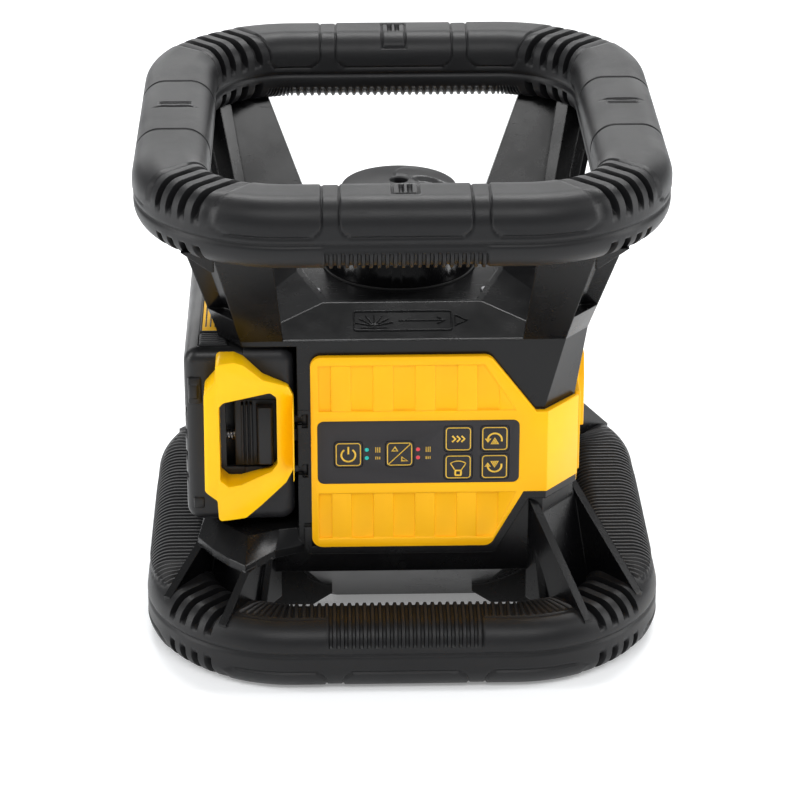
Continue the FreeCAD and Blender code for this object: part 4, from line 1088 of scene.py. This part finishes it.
# ---- housing -------------------------------------------------------------------------------------------
@dataclass
class Roof:
    """Marks on the roof: the raised direction plate in front of the dish, and the roof's screws."""

    slope_low: tuple[float, float] = (-78.5, 152.0)
    slope_high: tuple[float, float] = (-59.0, 162.0)
    screws: tuple[float, float] = (39.5, 36.0)
    screw_seat: float = 157.8

    def slope(self) -> Matrix:
        """The frame of the roof's front slope: x to the right and y up the slope, from the slope's middle."""
        low, high = Vector((0, *self.slope_low)), Vector((0, *self.slope_high))
        up = (high - low).normalized()
        normal = Vector((1, 0, 0)).cross(up)
        frame_matrix = Matrix((Vector((1, 0, 0)), up, normal)).transposed().to_4x4()
        return Matrix.Translation((low + high) / 2) @ frame_matrix

    def build(self) -> None:
        """Draws the plate, the fan sign and the pointer, and sets the screws."""
        plate = round_rect((0, 0), (22.0, 5.6), 1.0)
        pointer = [(23.6, -3.0), (29.0, 0.0), (23.6, 3.0), (23.6, -3.0)]
        fan = []
        for degrees in range(18, 163, 24):
            angle = math.radians(degrees)
            fan.append([(-13.0, -3.0), (-13.0 + 9.0 * math.cos(angle), -3.0 + 6.4 * math.sin(angle))])
        base = [[(-19.0, -4.0), (-7.0, -4.0)], [(-2.0, 0.0), (19.0, 0.0)],
                [(15.5, 2.0), (19.0, 0.0), (15.5, -2.0)]]
        slope = self.slope()
        Strokes("roof_plate", "housing", Surface.HOUSING, slope, 0.9, 0.5, [plate, pointer]).build()
        Strokes("roof_sign", "housing", Surface.HOUSING, slope, 0.7, 0.4, fan + base).build()
        bm = bmesh.new()
        head = [(0, 0.4), (1.1, 0.4), (1.1, 1.2), (2.4, 1.2), (2.9, 0.7), (2.9, 0.0), (0, 0.0)]
        for back in (-1, 1):
            for side in (-1, 1):
                add_turned(bm, head, 20, (side * self.screws[0], back * self.screws[1], self.screw_seat))
        finish_mesh(bm, "roof_screws", "housing", Surface.STEEL)


@dataclass
class Pack:
    """The battery pack's outside: its case halves, guard, latch, spring, clip and label frame."""

    latch_travel: float = 3.4

    def build(self) -> None:
        """Softens the pack's mouldings and adds the small parts on its front and top."""
        soften(
            ("pack_outer_shell", Surface.PACK, 0.5),
            ("pack_inner_shell", Surface.PACK_GREY, 0.4),
            ("release_latch", Surface.PACK, 0.35),
            ("gauge_button", Surface.PACK_GREY, 0.3),
            ("pack_end_frame", Surface.GUARD, 1.3),
            ("pack_label", Surface.LABEL, 0.2),
        )
        self.spring()
        self.clip()
        self.label_frame()

    def spring(self) -> None:
        """The coil behind the latch."""
        coil = finish_mesh(copy_of_node("latch_spring"), "latch_spring_coil", body_of_node("latch_spring"),
                           Surface.STEEL, ["latch_spring"], scale=1.0)
        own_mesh(coil)

    def clip(self) -> None:
        """A moulded clip and a lug on the case's front edge."""
        bm = bmesh.new()
        add_block(bm, (-97.2, -81.2, 122.0), (-91.0, -77.0, 135.0), 1.0)
        add_block(bm, (-96.6, -81.8, 125.0), (-92.6, -78.0, 132.0), 0.6)
        add_block(bm, (-96.0, -80.8, 69.5), (-91.0, -77.0, 75.0), 0.8)
        finish_mesh(bm, "pack_clip", "battery_pack", Surface.PACK)

    def label_frame(self) -> None:
        """The low rim round the label on the pack's top, and four plain bars printed on it."""
        low, high = (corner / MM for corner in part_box("pack_label"))
        centre = ((low.x + high.x) / 2, (low.y + high.y) / 2)
        rim = round_rect(centre, ((high.x - low.x) / 2 + 0.5, (high.y - low.y) / 2 + 0.5), 1.2)
        columns = [low.x + 1.6 + 2.1 * i for i in range(4)]
        bars = [[(x, low.y + 4), (x, low.y + 40)] for x in columns]
        case, paper = Matrix.Translation((0, 0, low.z)), Matrix.Translation((0, 0, high.z))
        Strokes("pack_label_rim", "battery_pack", Surface.PACK, case, 1.0, 0.6, [rim]).build()
        Strokes("pack_label_bars", "battery_pack", Surface.PACK, paper, 0.7, 0.1, bars).build()


@dataclass
class Housing:
    """The panels, the collar, the dock and the head, with rounded edges."""

    def build(self) -> None:
        """Softens each of them."""
        soften(
            ("front_panel", Surface.PANEL, 0.45),
            ("side_panel", Surface.PANEL, 0.7),
            ("rear_panel", Surface.PANEL, 0.6),
            ("head_collar", Surface.HOUSING, 0.5),
            ("battery_dock", Surface.DOCK, 0.3),
            ("rotor_head", Surface.HEAD, 0.4),
            ("rotor_hub", Surface.HEAD, 0.3),
        )


ASSEMBLIES = [RollCage(), Housing(), Keypad(), HeadCap(), Roof(), Pack()]


# ---- carried-over nodes and the stage -------------------------------------------------------------
def dress_nodes() -> None:
    """Gives every carried-over CAD node the finish of its slot."""
    finishes = {surface.finish.slot: surface for surface in Surface if surface is not Surface.INK}
    for part in frame["record"]["subparts"]:
        node = frame["nodes"][part["node"]]
        material = finishes[part["material_slot"]].finish.material()
        node.data.materials.clear()
        node.data.materials.append(material)


@dataclass
class Studio:
    """Pale floor, soft lamps and the camera."""

    azimuth: float = -1.47
    elevation: float = 24.45
    distance: float = 1.5
    lens: float = 140.5
    target: tuple[float, float, float] = (0.00053, -0.00001, 0.08635)

    def floor(self) -> None:
        """Lays a wide pale floor."""
        bm = bmesh.new()
        bmesh.ops.create_grid(bm, x_segments=2, y_segments=2, size=8.0)
        mesh = bpy.data.meshes.new("floor")
        bm.to_mesh(mesh)
        bm.free()
        floor = bpy.data.objects.new("floor", mesh)
        bpy.context.scene.collection.objects.link(floor)
        material = bpy.data.materials.new("pale_floor")
        material.use_nodes = True
        shader = material.node_tree.nodes["Principled BSDF"]
        shader.inputs["Base Color"].default_value = (0.88, 0.89, 0.90, 1.0)
        shader.inputs["Roughness"].default_value = 0.65
        shader.inputs["Emission Color"].default_value = (1.0, 1.0, 1.0, 1.0)
        shader.inputs["Emission Strength"].default_value = 0.22
        mesh.materials.append(material)

    def lamp(self, name: str, place: Sequence[float], size: Point, power: float) -> None:
        """Hangs one soft rectangular lamp that faces the instrument."""
        light = bpy.data.lights.new(name, "AREA")
        light.shape = "RECTANGLE"
        light.size, light.size_y = size
        light.energy = power
        holder = bpy.data.objects.new(name, light)
        holder.location = place
        aim = Vector((0.0, 0.0, 0.12)) - Vector(place)
        holder.rotation_euler = aim.to_track_quat("-Z", "Y").to_euler()
        bpy.context.scene.collection.objects.link(holder)

    def sky(self) -> None:
        """Lights the scene evenly; what the camera sees past the floor is white."""
        world = bpy.data.worlds.new("studio")
        bpy.context.scene.world = world
        world.use_nodes = True
        tree = world.node_tree
        tree.nodes.clear()
        path = tree.nodes.new("ShaderNodeLightPath")
        seen, soft = tree.nodes.new("ShaderNodeBackground"), tree.nodes.new("ShaderNodeBackground")
        seen.inputs[0].default_value = (1.0, 1.0, 1.0, 1.0)
        soft.inputs[0].default_value = (0.96, 0.98, 1.0, 1.0)
        soft.inputs[1].default_value = 0.34
        mix, output = tree.nodes.new("ShaderNodeMixShader"), tree.nodes.new("ShaderNodeOutputWorld")
        tree.links.new(path.outputs["Is Camera Ray"], mix.inputs[0])
        tree.links.new(soft.outputs[0], mix.inputs[1])
        tree.links.new(seen.outputs[0], mix.inputs[2])
        tree.links.new(mix.outputs[0], output.inputs[0])

    def camera(self) -> None:
        """Stands the camera at the viewing angle."""
        data = bpy.data.cameras.new("camera")
        data.lens = self.lens
        data.sensor_width = 36.0
        data.clip_start, data.clip_end = 0.05, 60.0
        holder = bpy.data.objects.new("camera", data)
        azimuth, elevation = math.radians(self.azimuth), math.radians(self.elevation)
        level = math.cos(elevation)
        away = Vector((math.sin(azimuth) * level, -math.cos(azimuth) * level, math.sin(elevation)))
        holder.location = Vector(self.target) + away * self.distance
        holder.rotation_euler = (-away).to_track_quat("-Z", "Y").to_euler()
        bpy.context.scene.collection.objects.link(holder)
        bpy.context.scene.camera = holder

    def build(self) -> None:
        """Sets the stage."""
        self.camera()
        self.floor()
        self.sky()
        self.lamp("overhead", (0.1, 0.75, 1.4), (1.3, 0.4), 22.0)
        self.lamp("back_wall", (0.0, 2.2, 0.7), (3.0, 0.9), 15.0)
        self.lamp("left_wall", (-1.4, -0.3, 0.6), (0.3, 1.3), 13.0)
        self.lamp("right_wall", (1.4, -0.2, 0.6), (0.3, 1.3), 13.0)
        self.lamp("front_fill", (0.0, -1.3, 1.5), (1.6, 0.4), 16.0)
        bpy.context.scene.view_settings.view_transform = "Standard"


def main() -> None:
    """Builds every sub-assembly on the frame and sets the stage."""
    logging.basicConfig(level=logging.INFO, format="%(message)s")
    dress_nodes()
    Studio().build()
    for assembly in ASSEMBLIES:
        LOG.info("building %s", type(assembly).__name__)
        assembly.build()


if __name__ == "__main__":
    main()
